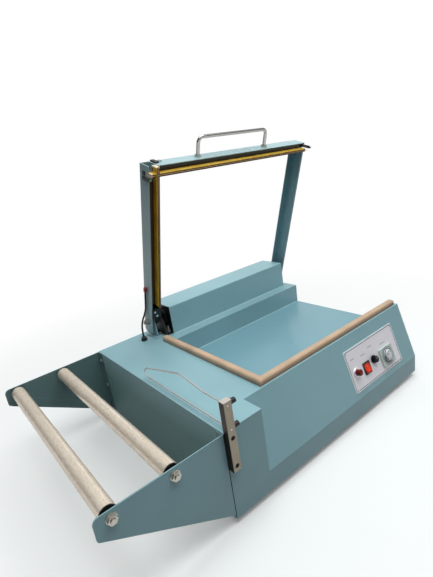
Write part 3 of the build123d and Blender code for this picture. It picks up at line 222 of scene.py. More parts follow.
def prism(bm, at, x, y, z, outline, depth):
    """Adds an outline of (x, y) pairs in mm, pushed depth mm along z."""
    part = bmesh.new()
    low = [part.verts.new(Vector((u * MM, v * MM, 0))) for u, v in outline]
    top = [part.verts.new(Vector((u * MM, v * MM, depth * MM))) for u, v in outline]
    part.faces.new(low)
    part.faces.new(top)
    n = len(outline)
    for i in range(n):
        j = (i + 1) % n
        part.faces.new((low[i], low[j], top[j], top[i]))
    place(bm, part, at, x, y, z)


# ---------------------------------------------------------------- materials
def lin(r, g, b):
    """sRGB bytes to linear colour."""
    return tuple(
        (c / 255 / 12.92) if c <= 10 else ((c / 255 + 0.055) / 1.055) ** 2.4 for c in (r, g, b)
    )


def shade(colour, gain, lift=0.0):
    """Linear colour made darker or lighter."""
    return tuple(min(1, c * gain + lift) for c in colour)


class Nodes:
    """Small helper that builds one procedural material."""

    def __init__(self, name):
        self.mat = bpy.data.materials.new(name)
        self.mat.use_nodes = True
        self.t = self.mat.node_tree
        self.t.nodes.clear()
        self.out = self.new("OutputMaterial")
        self.bsdf = self.new("BsdfPrincipled")
        self.link(self.bsdf.outputs[0], self.out.inputs[0])
        self.coord = self.new("TexCoord").outputs["Object"]

    def new(self, kind):
        return self.t.nodes.new("ShaderNode" + kind)

    def link(self, a, b):
        self.t.links.new(a, b)

    def put(self, **values):
        """Sets sockets of the shader: numbers stay constants, sockets are linked."""
        for key, v in values.items():
            s = self.bsdf.inputs[key.replace("_", " ")]
            if isinstance(v, bpy.types.NodeSocket):
                self.link(v, s)
            else:
                s.default_value = v

    def mapping(self, scale, rot=(0, 0, 0)):
        m = self.new("Mapping")
        self.link(self.coord, m.inputs["Vector"])
        m.inputs["Scale"].default_value = scale
        m.inputs["Rotation"].default_value = rot
        return m.outputs[0]

    def noise(self, scale, detail=4, rough=0.55, vector=None):
        n = self.new("TexNoise")
        self.link(vector or self.coord, n.inputs["Vector"])
        n.inputs["Scale"].default_value = scale
        n.inputs["Detail"].default_value = detail
        n.inputs["Roughness"].default_value = rough
        return n.outputs["Fac"]

    def voronoi(self, scale, vector=None):
        n = self.new("TexVoronoi")
        self.link(vector or self.coord, n.inputs["Vector"])
        n.inputs["Scale"].default_value = scale
        return n.outputs["Distance"]

    def ramp(self, fac, *stops):
        """Stops are (position, number or colour)."""
        r = self.new("ValToRGB")
        e = r.color_ramp.elements
        while len(e) > 1:
            e.remove(e[-1])
        for i, (pos, col) in enumerate(stops):
            el = e[0] if i == 0 else e.new(pos)
            el.position = pos
            c = (col, col, col) if isinstance(col, (int, float)) else col
            el.color = (*c, 1)
        self.link(fac, r.inputs[0])
        return r.outputs[0]

    def mix(self, fac, a, b, mode="MIX"):
        m = self.new("Mix")
        m.data_type = "RGBA"
        m.blend_type = mode
        for s, v in ((m.inputs[0], fac), (m.inputs[6], a), (m.inputs[7], b)):
            if isinstance(v, bpy.types.NodeSocket):
                self.link(v, s)
            elif isinstance(v, (int, float)):
                s.default_value = v
            else:
                s.default_value = (*v, 1)
        return m.outputs[2]

    def math(self, op, a, b, clamp=False):
        m = self.new("Math")
        m.operation = op
        m.use_clamp = clamp
        for s, v in zip(m.inputs, (a, b)):
            if isinstance(v, bpy.types.NodeSocket):
                self.link(v, s)
            else:
                s.default_value = v
        return m.outputs[0]

    def vector(self, op, a, b=None):
        v = self.new("VectorMath")
        v.operation = op
        self.link(a, v.inputs[0])
        if b is not None:
            v.inputs[1].default_value = b
        return v.outputs

    def axis(self, direction, origin):
        """Distance of the point from origin along direction, in mm."""
        away = self.vector("SUBTRACT", self.coord, origin)[0]
        return self.vector("DOT_PRODUCT", away, Vector(direction) / MM)["Value"]

    def along(self, distance, span, *stops):
        """Amount by distance in mm: stops are (mm, amount), all within span mm."""
        part = self.math("DIVIDE", distance, span)
        return self.ramp(part, *[(mm / span, amount) for mm, amount in stops])

    def between(self, noise, a, b, low=0.3, high=0.7):
        """Colour that drifts from a to b as the noise rises from low to high."""
        return self.mix(self.ramp(noise, (low, 0.0), (high, 1.0)), a, b)

    def over(self, col, colour, mask, strength):
        """Colour laid over col where the mask says so."""
        return self.mix(self.math("MULTIPLY", mask, strength), col, colour)

    def vary(self, noise, amount, base):
        """Number near base that follows the noise."""
        return self.math("ADD", self.math("MULTIPLY", noise, amount), base)

    def bump(self, height, strength, distance):
        b = self.new("Bump")
        self.link(height, b.inputs["Height"])
        b.inputs["Strength"].default_value = strength
        b.inputs["Distance"].default_value = distance
        self.link(b.outputs[0], self.bsdf.inputs["Normal"])


# painted light and shade on a face starts and ends within SHADING_SPAN mm; FOOT_DEPTH mm below the
# deck it has turned fully to its darker foot colour, as painted shade
SHADING_SPAN, FOOT_SPAN, FOOT_DEPTH = 8.0, 120.0, 60.0


def paint(name, rgb, rough=0.38, peel=0.12, dust=0.06, painted_shading=None, foot=None):
    """Stove enamel: fine orange peel, faint clouding, a few light scuffs.

    painted_shading is (direction, origin, stops, rgb): light and shade painted in as a colour where
    stops, in mm from origin, say so.
    foot is the darker colour that this painted shading fades to below the deck, as painted shade;
    then the shading is duller too.
    """
    m = Nodes(name)
    base = lin(*rgb)
    cloud = m.noise(5, 3)
    fine = m.noise(60, 4)
    col = m.between(cloud, shade(base, 0.93), shade(base, 1.06))
    speck = m.ramp(m.noise(420, 2, 0.7), (0.66, 0.0), (0.74, 1.0))
    col = m.over(col, shade(base, 1.5, 0.04), speck, dust)
    rubbed = m.noise(14, 6, 0.7, m.mapping((1, 5, 3), (0.3, 0.5, 0.9)))
    scuff = m.ramp(rubbed, (0.64, 0.0), (0.72, 1.0))
    col = m.over(col, shade(base, 1.25, 0.02), scuff, 0.10)
    dull = rough - 0.06
    # painted light and shade: this colour stands in for how light falls on the chosen face
    if painted_shading:
        direction, origin, stops, shading_rgb = painted_shading
        share = m.along(m.axis(direction, origin), SHADING_SPAN, *stops)
        shading_colour = m.between(cloud, shade(lin(*shading_rgb), 0.93), lin(*shading_rgb))
        if foot:
            below_deck_share = m.along(m.axis(-Z, (0, 0, DECK)), FOOT_SPAN, (0.0, 0.0), (FOOT_DEPTH, 1.0))
            shading_colour = m.mix(below_deck_share, shading_colour, lin(*foot))
            dull = m.vary(share, 0.3, dull)
        col = m.mix(share, col, shading_colour)
    m.put(
        Base_Color=col,
        Roughness=m.vary(fine, 0.12, dull),
        Specular_IOR_Level=0.4,
        Coat_Weight=0.07,
        Coat_Roughness=0.22,
    )
    m.bump(m.noise(700, 3, 0.6), peel, 0.0003)
    return m.mat


def metal(name, rgb, rough, amount, scale, streak=(1, 1, 1), spots=0.0, metallic=1.0):
    """Bare or plated metal; streak stretches its grain into brushing."""
    m = Nodes(name)
    base = lin(*rgb)
    line = m.noise(scale, 5, 0.6, m.mapping(streak))
    cloud = m.noise(18, 3)
    col = m.between(line, shade(base, 1 - amount), shade(base, 1 + amount))
    if spots:
        patch = m.ramp(m.noise(30, 5, 0.65), (0.5, 0.0), (0.62, 1.0))
        col = m.over(col, shade(base, 0.55), patch, spots)
    r = m.vary(line, 0.22, rough - 0.11)
    m.put(
        Base_Color=col,
        Metallic=metallic,
        Roughness=m.math("ADD", r, m.math("MULTIPLY", cloud, 0.06), clamp=True),
    )
    m.bump(line, 0.12, 0.0002)
    return m.mat


def plastic(name, rgb, rough, grain=900, depth=0.12, spec=0.5, sss=0.0):
    """Moulded plastic with a fine spark-eroded grain."""
    m = Nodes(name)
    base = lin(*rgb)
    col = m.between(m.noise(40, 3), shade(base, 0.92), shade(base, 1.08), 0.35)
    m.put(
        Base_Color=col,
        Roughness=m.vary(m.noise(120, 3), 0.14, rough - 0.07),
        Specular_IOR_Level=spec,
    )
    if sss:
        m.put(Subsurface_Weight=sss, Subsurface_Scale=0.002)
    m.bump(m.noise(grain, 2, 0.5), depth, 0.0002)
    return m.mat


def post_material(name):
    """Ground stainless bar: its left side is darker, and its top is painted bright as a painted
    highlight.
    """
    m = Nodes(name)
    low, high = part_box("guide_post")
    line = m.noise(40, 5, 0.6, m.mapping((60, 60, 1)))
    col = m.between(line, lin(124, 116, 103), lin(152, 142, 128))
    # darker colour on the left face
    surface_layer = m.along(m.axis(X, (low.x, 0, 0)), 4.0, (0.2, 1.0), (0.4, 0.0))
    col = m.mix(surface_layer, col, lin(58, 50, 44))
    # painted highlight: the top face is made bright
    top_highlight = m.along(m.axis(-Z, (0, 0, high.z)), 4.0, (0.16, 1.0), (0.32, 0.0))
    col = m.mix(top_highlight, col, lin(236, 226, 220))
    m.put(Base_Color=col, Metallic=0.9, Roughness=m.vary(line, 0.2, 0.26))
    m.bump(line, 0.12, 0.0002)
    return m.mat


def pad_material(name):
    """Tan silicone sponge with a fine open-celled surface, darker near the deck as painted shade.
    """
    m = Nodes(name)
    base = lin(194, 164, 137)
    surface_layer = m.noise(260, 5, 0.65)
    cloud = m.noise(22, 4)
    col = m.between(cloud, shade(base, 0.86), shade(base, 1.1), 0.3, 0.72)
    pores = m.ramp(m.voronoi(900), (0.05, 1.0), (0.22, 0.0))
    col = m.over(col, lin(140, 108, 86), pores, 0.35)
    # painted shade: the colour darkens over the lowest 6 mm next to the deck
    height = m.math("ADD", m.axis(Z, (0, 0, DECK)), m.math("MULTIPLY", cloud, 1.5))
    col = m.mix(m.along(height, 10.0, (3.0, 0.7), (6.2, 0.0)), col, lin(118, 92, 72))
    m.put(
        Base_Color=col,
        Roughness=m.vary(surface_layer, 0.2, 0.55),
        Subsurface_Weight=0.08,
        Subsurface_Scale=0.003,
        Sheen_Weight=0.1,
    )
    m.bump(surface_layer, 0.25, 0.0004)
    return m.mat


def roller_material(name):
    """Galvanised tube: fine lengthwise drawing lines, small spangle and rubbed bright bands."""
    m = Nodes(name)
    base = lin(250, 234, 216)
    line = m.noise(60, 6, 0.7, m.mapping((12, 1.2, 12)))
    spangle = m.voronoi(260, m.mapping((1, 0.5, 1)))
    cloud = m.noise(30, 5, 0.7, m.mapping((1, 0.35, 1)))
    speck = m.ramp(m.noise(420, 3, 0.75, m.mapping((1, 0.6, 1))), (0.56, 0.0), (0.66, 1.0))
    col = m.between(line, shade(base, 0.78), shade(base, 1.02), 0.36, 0.64)
    col = m.over(col, lin(186, 160, 138), m.ramp(cloud, (0.46, 0.0), (0.7, 1.0)), 0.22)
    col = m.over(col, lin(150, 126, 106), speck, 0.4)
    rough = m.math("ADD", m.math("MULTIPLY", cloud, 0.14), m.vary(spangle, 0.08, 0.2))
    m.put(Base_Color=col, Metallic=0.5, Specular_IOR_Level=0.3, Roughness=rough)
    m.bump(m.math("ADD", line, m.math("MULTIPLY", spangle, 0.5)), 0.14, 0.0003)
    return m.mat


# the tape on a bar's nose ends so far above the hinge line, and outward of the bar's middle; mm
TAPE_UP, TAPE_OUT = -24.2, 2.4


def bar_material(name, outward, middle, gold_low, gold_high):
    """Sealing bar: brassy flanks, browned tape on the nose's inner part, painted shade at its root
    in the channel, heat marks.
    """
    m = Nodes(name)
    wobble = m.math("MULTIPLY", m.noise(70, 4), 1.2)
    up = m.math("SUBTRACT", m.math("ADD", m.axis(TO_TOP, HINGE), wobble), TAPE_UP)
    out = m.math("SUBTRACT", m.math("ADD", m.axis(outward, middle), wobble), TAPE_OUT)
    gold = m.between(m.noise(26, 5, 0.6), lin(*gold_low), lin(*gold_high))
    drawn = m.ramp(m.noise(30, 5, 0.6, m.mapping((14, 0.7, 0.7))), (0.4, 0.0), (0.7, 1.0))
    gold = m.over(gold, lin(92, 66, 16), drawn, 0.35)
    brown = m.between(m.noise(50, 4), lin(78, 38, 18), lin(116, 66, 32))
    flank = m.ramp(m.math("MAXIMUM", up, out), (0.0, 0.0), (0.9, 1.0))
    col = m.mix(flank, brown, gold)
    # painted shade: the bar darkens where it rises into the frame's channel
    root = m.along(up, 14.0, (8.68, 0.0), (11.2, 0.75))
    col = m.mix(root, col, lin(66, 40, 18))
    marks = m.ramp(m.noise(150, 3, 0.7), (0.66, 0.0), (0.72, 1.0))
    col = m.over(col, lin(74, 48, 20), marks, 0.5)
    m.put(
        Base_Color=col,
        Metallic=m.math("MULTIPLY", flank, 0.2),
        Roughness=m.vary(m.noise(120, 4), 0.2, 0.3),
        Specular_IOR_Level=0.3,
        Coat_Weight=0.06,
        Coat_Roughness=0.3,
    )
    m.bump(m.noise(200, 4, 0.6), 0.2, 0.0004)
    return m.mat


def lens_material(name):
    """Dark red lamp lens with a moulded pattern."""
    m = Nodes(name)
    m.put(
        Base_Color=m.between(m.noise(300, 2), lin(88, 4, 5), lin(124, 10, 9)),
        Roughness=m.vary(m.noise(80), 0.1, 0.24),
        Transmission_Weight=0.05,
        IOR=1.45,
        Specular_IOR_Level=0.2,
        Coat_Weight=0.05,
        Coat_Roughness=0.05,
    )
    m.bump(m.voronoi(1400), 0.25, 0.0003)
    return m.mat


PAINT = (136, 173, 182)
# where painted light and shade lies: mm from a face, and how much of it is there
ON_FACE = ((0.2, 1.0), (0.4, 0.0))
ON_FLOOR = ((0.2, 1.0), (0.6, 0.0))
BEHIND_PLATE = ((1.0, 0.0), (1.3, 1.0))
# colour, then what differs from plain enamel
PAINTS = {
    "body_paint": (PAINT, {}),
    # the table's floor, and what lies below it, is painted a darker tone than its walls and lip:
    # painted shade in the recess
    "table_paint": (
        (138, 176, 186),
        {"rough": 0.3, "painted_shading": (Z, (0, 0, TABLE_TOP), ON_FLOOR, (118, 159, 171))},
    ),
    # the hinge cover's paint is a lighter copy of the body paint: painted light
    "cover_paint_lit": ((146, 186, 195), {}),
    # the casing's left face is painted lighter near the deck and darker below it: painted light and
    # shade on the cradle's inner wall
    "casing_paint_shaded": (
        PAINT,
        {"painted_shading": (X, (LEFT, 0, 0), ON_FACE, (154, 190, 198)), "foot": (112, 149, 151)},
    ),
    # the cradle plates' inner faces are painted darker than their outer faces: painted shade
    "front_plate_paint_shaded": (PAINT, {"painted_shading": (Y, (0, FRONT, 0), BEHIND_PLATE, (96, 124, 128))}),
    "rear_plate_paint_shaded": (PAINT, {"painted_shading": (TO_FRONT, (0, BACK, 0), BEHIND_PLATE, (88, 116, 118))}),
    "frame_paint": ((158, 184, 189), {}),
    "base_paint": ((110, 138, 146), {}),
    "black_plate": ((20, 21, 23), {"rough": 0.45, "peel": 0.2, "dust": 0.02}),
    # pale paint of the corner fillets: painted highlight
    "highlight_paint": ((176, 206, 210), {"rough": 0.3, "peel": 0.05, "dust": 0.0}),
}
# colour, roughness, contrast and scale of the grain, then what differs from plain metal
METALS = {
    "zinc": ((186, 182, 172), 0.36, 0.06, 500, {"spots": 0.12}),
    "bright_screw": ((205, 205, 207), 0.24, 0.06, 300, {}),
    "chrome_trim": ((178, 176, 172), 0.14, 0.03, 60, {}),
    "lamp_chrome": ((236, 234, 238), 0.24, 0.03, 60, {"metallic": 0.6}),
    "stainless_rod": ((212, 211, 208), 0.28, 0.02, 900, {"metallic": 0.7}),
    "shaft_steel": ((168, 168, 165), 0.26, 0.08, 40, {"streak": (60, 1, 1)}),
    "wire_steel": ((150, 126, 92), 0.4, 0.2, 200, {}),
    "bronze": ((158, 118, 62), 0.4, 0.12, 120, {}),
    "spring_steel": ((46, 46, 47), 0.33, 0.25, 150, {}),
    "panel_metal": ((238, 233, 240), 0.42, 0.05, 14, {"streak": (1, 60, 60), "metallic": 0.25}),
    "black_screw": ((44, 44, 45), 0.35, 0.2, 200, {}),
    "thread": ((120, 116, 106), 0.42, 0.1, 400, {}),
}
# colour, roughness, scale and depth of the grain, specular level, subsurface weight
PLASTICS = {
    "black_plastic": ((26, 26, 28), 0.38),
    "knob_black": ((8, 9, 11), 0.18, 900, 0.04, 0.15),
    "black_iron": ((24, 26, 26), 0.5, 260, 0.5),
    "black_steel": ((24, 24, 25), 0.36, 500, 0.2),
    "tape_brown": ((72, 48, 24), 0.5, 500, 0.2, 0.3),
    "foot_rubber": ((24, 24, 24), 0.7, 500, 0.4, 0.3),
    "lead_rubber": ((17, 17, 18), 0.5, 700, 0.25, 0.35),
    "boot_red": ((150, 36, 34), 0.5, 600, 0.2),
    "cream_insulator": ((226, 204, 172), 0.55, 500, 0.2, 0.4, 0.1),
    "timer_plastic": ((190, 202, 198), 0.3, 900, 0.08),
    "dial_plastic": ((216, 218, 224), 0.28, 900, 0.05, 0.5, 0.1),
    "rocker_red": ((240, 62, 36), 0.3, 700, 0.05, 0.4, 0.25),
    # recess: near-black, used for painted shade in recesses and gaps
    "recess": ((22, 22, 23), 0.6, 500, 0.2, 0.2),
    "ink": ((30, 32, 36), 0.5, 900, 0.05),
    "pale_ink": ((228, 228, 226), 0.5, 900, 0.05),
    "key_mark": ((246, 150, 120), 0.45, 900, 0.05),
    "rim_print": ((226, 238, 242), 0.35, 700, 0.05),
}
FRONT_BAR_REACH = 373.9  # mm from the hinge line to the middle of the front bar
FRONT_BAR = on_frame(0, FRONT_BAR_REACH, 0)
LEFT_BAR = sum(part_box("left_seal_bar"), Vector()) / 2
M = {name: paint(name, rgb, **rest) for name, (rgb, rest) in PAINTS.items()}
M |= {name: metal(name, *grain, **rest) for name, (*grain, rest) in METALS.items()}
M |= {name: plastic(name, *look) for name, look in PLASTICS.items()}
M["stainless"] = post_material("stainless")
M["pad_rubber"] = pad_material("pad_rubber")
M["roller_steel"] = roller_material("roller_steel")
M["left_bar"] = bar_material("left_bar", -X, LEFT_BAR, (196, 150, 26), (226, 178, 54))
M["front_bar"] = bar_material("front_bar", -TO_BACK, FRONT_BAR, (190, 150, 40), (226, 186, 80))
M["lamp_red"] = lens_material("lamp_red")

# ---------------------------------------------------------------- dress of the CAD nodes
OWN_LOOK = {
    "left_seal_bar": "left_bar",
    "front_seal_bar": "front_bar",
    "lamp_bezel": "lamp_chrome",
    "time_knob": "knob_black",
    "left_arm": "frame_paint",
    "front_beam": "frame_paint",
    "main_casing": "casing_paint_shaded",
    "cradle_front_plate": "front_plate_paint_shaded",
    "cradle_rear_plate": "rear_plate_paint_shaded",
}
looks = {s["node"]: s["material_slot"] for s in frame["record"]["subparts"]} | OWN_LOOK
for name, o in nodes.items():
    o.data.materials.clear()
    o.data.materials.append(M[looks[name]])

# folded sheet and machined edges catch light: softened by modifiers only, mm to nodes
SOFT_EDGES = {
    0.9: ("main_casing",),
    0.8: ("left_bearing_block", "right_bearing_block", "timer_housing"),
    0.7: ("left_arm", "front_beam", "right_arm"),
    0.6: ("work_table",),
    0.5: ("hinge_knuckle", "cradle_front_plate", "cradle_rear_plate", "rocker_bezel",
          "power_rocker", "corner_clamp"),
    0.4: ("hinge_bracket", "tension_lever", "pivot_block"),
    0.35: ("left_seal_bar", "front_seal_bar"),
    0.3: ("hinge_cover", "corner_caps"),
    0.25: ("control_plate",),
    0.15: ("guide_post",),
}
for width, names in SOFT_EDGES.items():
    for name in names:
        weld = nodes[name].modifiers.new("weld", "WELD")
        weld.merge_threshold = 0.00002
        edge = nodes[name].modifiers.new("edge", "BEVEL")
        edge.width = width * MM
        edge.segments = 2
        edge.limit_method = "ANGLE"
        edge.angle_limit = math.radians(35)
        edge.harden_normals = True

# ---------------------------------------------------------------- lead
path = route_mesh([Vector(p) * MM for p in LEAD])
bm = bmesh.new()
tube(bm, path, LEAD_DIAMETER / 2, 16)
lead = add("lead", bm, M["lead_rubber"])
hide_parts("arm_lead")
tuple(path[0])
sum((b - a).length for a, b in zip(path, path[1:]))
[tuple(p) for p in path]
tuple(path[-1])
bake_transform(lead)

# ---------------------------------------------------------------- folded cover
SHEET, FOLD_RADIUS = 1.5, 2.6


def fold(points, radius, n=5):
    """Outline in mm with each inner corner rounded."""
    out = [points[0]]
    for a, b, c in zip(points, points[1:], points[2:]):
        a, b, c = Vector(a), Vector(b), Vector(c)
        u, v = (a - b).normalized(), (c - b).normalized()
        turn = math.pi - u.angle(v)
        cut = radius * math.tan(turn / 2)
        centre = b + (u + v).normalized() * radius / math.cos(turn / 2)
        for i in range(n + 1):
            q = (b + u * cut).lerp(b + v * cut, i / n)
            out.append(tuple(centre + (q - centre).normalized() * radius))
    return out + [points[-1]]


def sheet_fold(bm, at, x, y, z, line, depth, thick, radius):
    """Adds sheet of one thickness bent along line, whose outside is on the left of its way."""
    outer = fold(line, radius)
    inner = []
    for i, q in enumerate(outer):
        a, b = Vector(outer[max(i - 1, 0)]), Vector(outer[min(i + 1, len(outer) - 1)])
        t = (b - a).normalized()
        inner.append((q[0] + t.y * thick, q[1] - t.x * thick))
    prism(bm, at, x, y, z, outer + inner[::-1], depth)


wide, deep, tall = (COVER[1] - COVER[0]) / MM
bm = bmesh.new()
sheet_fold(bm, COVER[0], Y, Z, X, [(0, 0), (0, tall), (deep, tall), (deep, 0)],
           wide, SHEET, FOLD_RADIUS)
# the cover shell wears the lighter copy of the body paint, as painted light
cover = add("cover_shell", bm, M["cover_paint_lit"], "machine", 30)
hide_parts("hinge_cover")


# ---------------------------------------------------------------- fillets in painted highlight, and painted shadow in gaps
def fillet_strip(bm, x0, x1, y, z, size):
    """Adds a small concave fillet along x, in the corner at y, z that is open to the front."""
    outline = [
        (0, 0), (size, 0), (size * 0.42, size * 0.18), (size * 0.18, size * 0.42), (0, size)
    ]
    prism(bm, Vector((x0, y, z)), TO_FRONT, Z, X, outline, (x1 - x0) / MM)


TRAY_FLANGE = 9.0
COVER_FILLET, TABLE_FILLET = 1.6, 1.3
table_left, table_back = TABLE[0].x + TRAY_FLANGE * MM, TABLE[1].y - TRAY_FLANGE * MM
# concave fillets at the cover's foot and along the table's rear edge; their pale paint is a painted
# highlight
bm = bmesh.new()
fillet_strip(bm, COVER[0].x, COVER[1].x, COVER[0].y, DECK, COVER_FILLET)
fillet_strip(bm, table_left, RIGHT, table_back, TABLE_TOP, TABLE_FILLET)
add("highlight_fillets", bm, M["highlight_paint"], "machine", 0)

# a dark strip where the cradle plates meet the body: painted shadow in the gap
GAP_OUT, GAP_WIDE, GAP_DEEP, GAP_SHORTER = 0.2, 1.5, 0.4, 1.0
low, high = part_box("cradle_front_plate")
bm = bmesh.new()
for y in (FRONT, BACK):
    block(bm, Vector((LEFT - GAP_OUT * MM, y, (low.z + high.z) / 2)), X, Y, Z,
          (GAP_WIDE, GAP_DEEP, (high.z - low.z) / MM - GAP_SHORTER), 0.1)
add("cradle_gap_shadow", bm, M["recess"], "machine", 0)

# ---------------------------------------------------------------- dark strips beside the bars, painted shade inside the channels, mm
STRIP_UP, STRIP, STRIP_CHAMFER = -13.5, 1.2, 0.2
ARM_STRIPS = ((2.1, 11.8), (20.2, 21.9))  # across the arm, from its left side
ARM_STRIP_MIDDLE, ARM_STRIP_LENGTH = 208.0, 300.0  # reach and length along the arm
BEAM_STRIPS = ((378.2, 387.7), (368.0, 369.6))  # reach from the hinge line
BEAM_STRIP_LEFT, BEAM_STRIP_RIGHT = 25.0, 16.0  # inward of the arm's left side and beam's end
# painted shade in the arm's channel, on both sides of the left bar
bm = bmesh.new()
for x0, x1 in ARM_STRIPS:
    block(bm, on_frame((ARM / MM) + (x0 + x1) / 2, ARM_STRIP_MIDDLE, STRIP_UP), X, TO_BACK, TO_TOP,
          (x1 - x0, ARM_STRIP_LENGTH, STRIP), STRIP_CHAMFER)
add("arm_channel_shade", bm, M["tape_brown"], "sealing_frame", 0)
# painted shade in the beam's channel, on both sides of the front bar
bm = bmesh.new()
start, stop = ARM / MM + BEAM_STRIP_LEFT, BEAM / MM - BEAM_STRIP_RIGHT
for r0, r1 in BEAM_STRIPS:
    block(bm, on_frame((start + stop) / 2, (r0 + r1) / 2, STRIP_UP), X, TO_BACK, TO_TOP,
          (stop - start, r1 - r0, STRIP), STRIP_CHAMFER)
add("beam_channel_shade", bm, M["black_plate"], "sealing_frame", 0)


# ---------------------------------------------------------------- return spring
def helix(centre, axis, radius, pitch, turns, n=28):
    """Points of a helix round axis, n to a turn; mm."""
    m = Z.rotation_difference(Vector(axis).normalized()).to_matrix()
    out = []
    for i in range(int(turns * n) + 1):
        a = math.tau * i / n
        across = Vector((radius * math.cos(a), radius * math.sin(a), pitch * i / n))
        out.append(centre + m @ across * MM)
    return out


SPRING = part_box("return_spring")
SPRING_WIRE, SPRING_PITCH, SPRING_TURNS = 3.2, 3.4, 2.6
SPRING_LEG = (22, 16, 10, 5, 2)  # mm before the coil, straight on from its first turn
spring_radius = (SPRING[1].y - SPRING[0].y) / MM / 2 - SPRING_WIRE / 2
spring_start = Vector((SPRING[0].x + SPRING_WIRE / 2 * MM, HINGE.y, HINGE.z))
coil = helix(spring_start, X, spring_radius, SPRING_PITCH, SPRING_TURNS)
first = (coil[0] - coil[1]).normalized()
leg = [coil[0] + first * k * MM for k in SPRING_LEG]
bm = bmesh.new()
tube(bm, leg + coil, SPRING_WIRE / 2, 12)
spring = add("coil_spring", bm, M["spring_steel"], "machine", 60)
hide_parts("return_spring")


# ---------------------------------------------------------------- recesses and threads
def islands(node):
    """Middle, size and points of each separate solid of a CAD node."""
    me = nodes[node].data
    parent = list(range(len(me.vertices)))

    def root(i):
        while parent[i] != i:
            parent[i] = parent[parent[i]]
            i = parent[i]
        return i

    where = {}
    for v in me.vertices:
        key = tuple(round(c, 6) for c in v.co)
        if key in where:
            parent[root(v.index)] = root(where[key])
        where[key] = v.index
    for e in me.edges:
        parent[root(e.vertices[0])] = root(e.vertices[1])
    found = {}
    for v in me.vertices:
        found.setdefault(root(v.index), []).append(v.co.copy())
    out = []
    for points in found.values():
        low = Vector([min(p[i] for p in points) for i in range(3)])
        high = Vector([max(p[i] for p in points) for i in range(3)])
        out.append(((low + high) / 2, high - low, points))
    return sorted(out, key=lambda q: tuple(round(c, 5) for c in q[0]))


def recesses(name, node, axis, size, cut, body):
    """Dark mark in each screw head of a node, painted shade in its recess, which cut makes at the
    head's end face.
    """
    bm = bmesh.new()
    axis = Vector(axis).normalized()
    u = axis.orthogonal().normalized()
    v = axis.cross(u)
    for middle, _, points in islands(node):
        top = middle + axis * max((p - middle).dot(axis) for p in points)
        cut(bm, top, u, v, axis, size)
    add(name, bm, M["recess"], body, 0)


def cross(bm, top, u, v, axis, arm):
    for a, b in ((u, v), (v, u)):
        block(bm, top + axis * 0.02 * MM, a, b, axis, (arm, arm * 0.26, 0.1), 0.02)


def socket(bm, top, u, v, axis, radius):
    turns = [math.pi / 3 * i for i in range(6)]
    hexagon = [(radius * math.cos(a), radius * math.sin(a)) for a in turns]
    prism(bm, top - axis * 0.03 * MM, u, v, axis, hexagon, 0.1)


# dark crosses and hexagons on the screw heads: painted shade in their recesses
recesses("panel_crosses", "panel_screws", SLOPE_OUT, 2.2, cross, "machine")
recesses("cradle_crosses", "cradle_screws", -X, 2.4, cross, "machine")
recesses("post_sockets", "post_screws", TO_FRONT, 1.6, socket, "machine")
for body in ("upper_thumb_screw", "lower_thumb_screw"):
    recesses(body + "_socket", body, X, 1.5, socket, body)

THREAD_LENGTH, THREAD_START = 3.0, 0.5  # mm; it starts that far inside the rod's end face
THREAD_PITCH, THREAD_BULGE = 1.25, 0.27  # pitch in mm, and the ridge's radius as a share of it
AXLE_THREAD_SINK, SHAFT_THREAD_RADIUS = 0.18, 3.85


def thread(bm, end, axis, radius):
    """Adds a thread at the end face of a rod."""
    turns = THREAD_LENGTH / THREAD_PITCH
    line = helix(end + axis * THREAD_START * MM, axis, radius, THREAD_PITCH, turns, 20)
    tube(bm, line, THREAD_PITCH * THREAD_BULGE, 6)


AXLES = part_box("roller_axles")
bm = bmesh.new()
for middle, size, _ in islands("roller_axles"):
    for end, axis in ((AXLES[0].y, Y), (AXLES[1].y, TO_FRONT)):
        thread(bm, Vector((middle.x, end, middle.z)), axis, size.x / MM / 2 - AXLE_THREAD_SINK)
add("axle_threads", bm, M["thread"], "machine", 60)
bm = bmesh.new()
for end, axis in ((SHAFT[0].x, X), (SHAFT[1].x, -X)):
    thread(bm, Vector((end, HINGE.y, HINGE.z)), axis, SHAFT_THREAD_RADIUS)
add("shaft_threads", bm, M["thread"], "sealing_frame", 60)

# ---------------------------------------------------------------- print of the control plate, mm
PLATE, TIMER_FACE = 1.0, 4.0  # thickness of the plate, and height of the timer's face on it
LAMP, ROCKER, KNOB, TIMER = (-73.0, 54.0), (-35.5, 49.0), (-6.0, 56.5), (42.0, 46.0)
BORDER_HALF, BORDER_LOW, BORDER_HIGH = 90.5, 16.5, 103.5


def line_on_plate(bm, u0, v0, u1, v1, width, w=PLATE, thick=0.12):
    """Adds a printed line between two places of the plate."""
    a, b = on_slope(u0, v0, w), on_slope(u1, v1, w)
    x = (b - a).normalized()
    block(bm, (a + b) / 2 + SLOPE_OUT * thick * 0.5 * MM, x, SLOPE_OUT.cross(x), SLOPE_OUT,
          ((b - a).length / MM + width, width, thick), 0.03)


def frame_on_plate(name, grow, width, thick, mat):
    """Printed frame, grow mm outside the border line."""
    half, low, high = BORDER_HALF + grow, BORDER_LOW - grow, BORDER_HIGH + grow
    corners = [(-half, low), (half, low), (half, high), (-half, high)]
    bm = bmesh.new()
    for a, b in zip(corners, corners[1:] + corners[:1]):
        line_on_plate(bm, *a, *b, width, thick=thick)
    add(name, bm, mat, "machine", 0)


def scale_on_plate(name, centre, marks, w):
    """Printed ticks round centre: marks are (degrees, inner radius, outer radius, width)."""
    bm = bmesh.new()
    for degrees, inner, outer, width in marks:
        c, s = math.cos(math.radians(degrees)), math.sin(math.radians(degrees))
        line_on_plate(bm, centre[0] + inner * c, centre[1] + inner * s,
                      centre[0] + outer * c, centre[1] + outer * s, width, w)
    add(name, bm, M["ink"], "machine", 0)


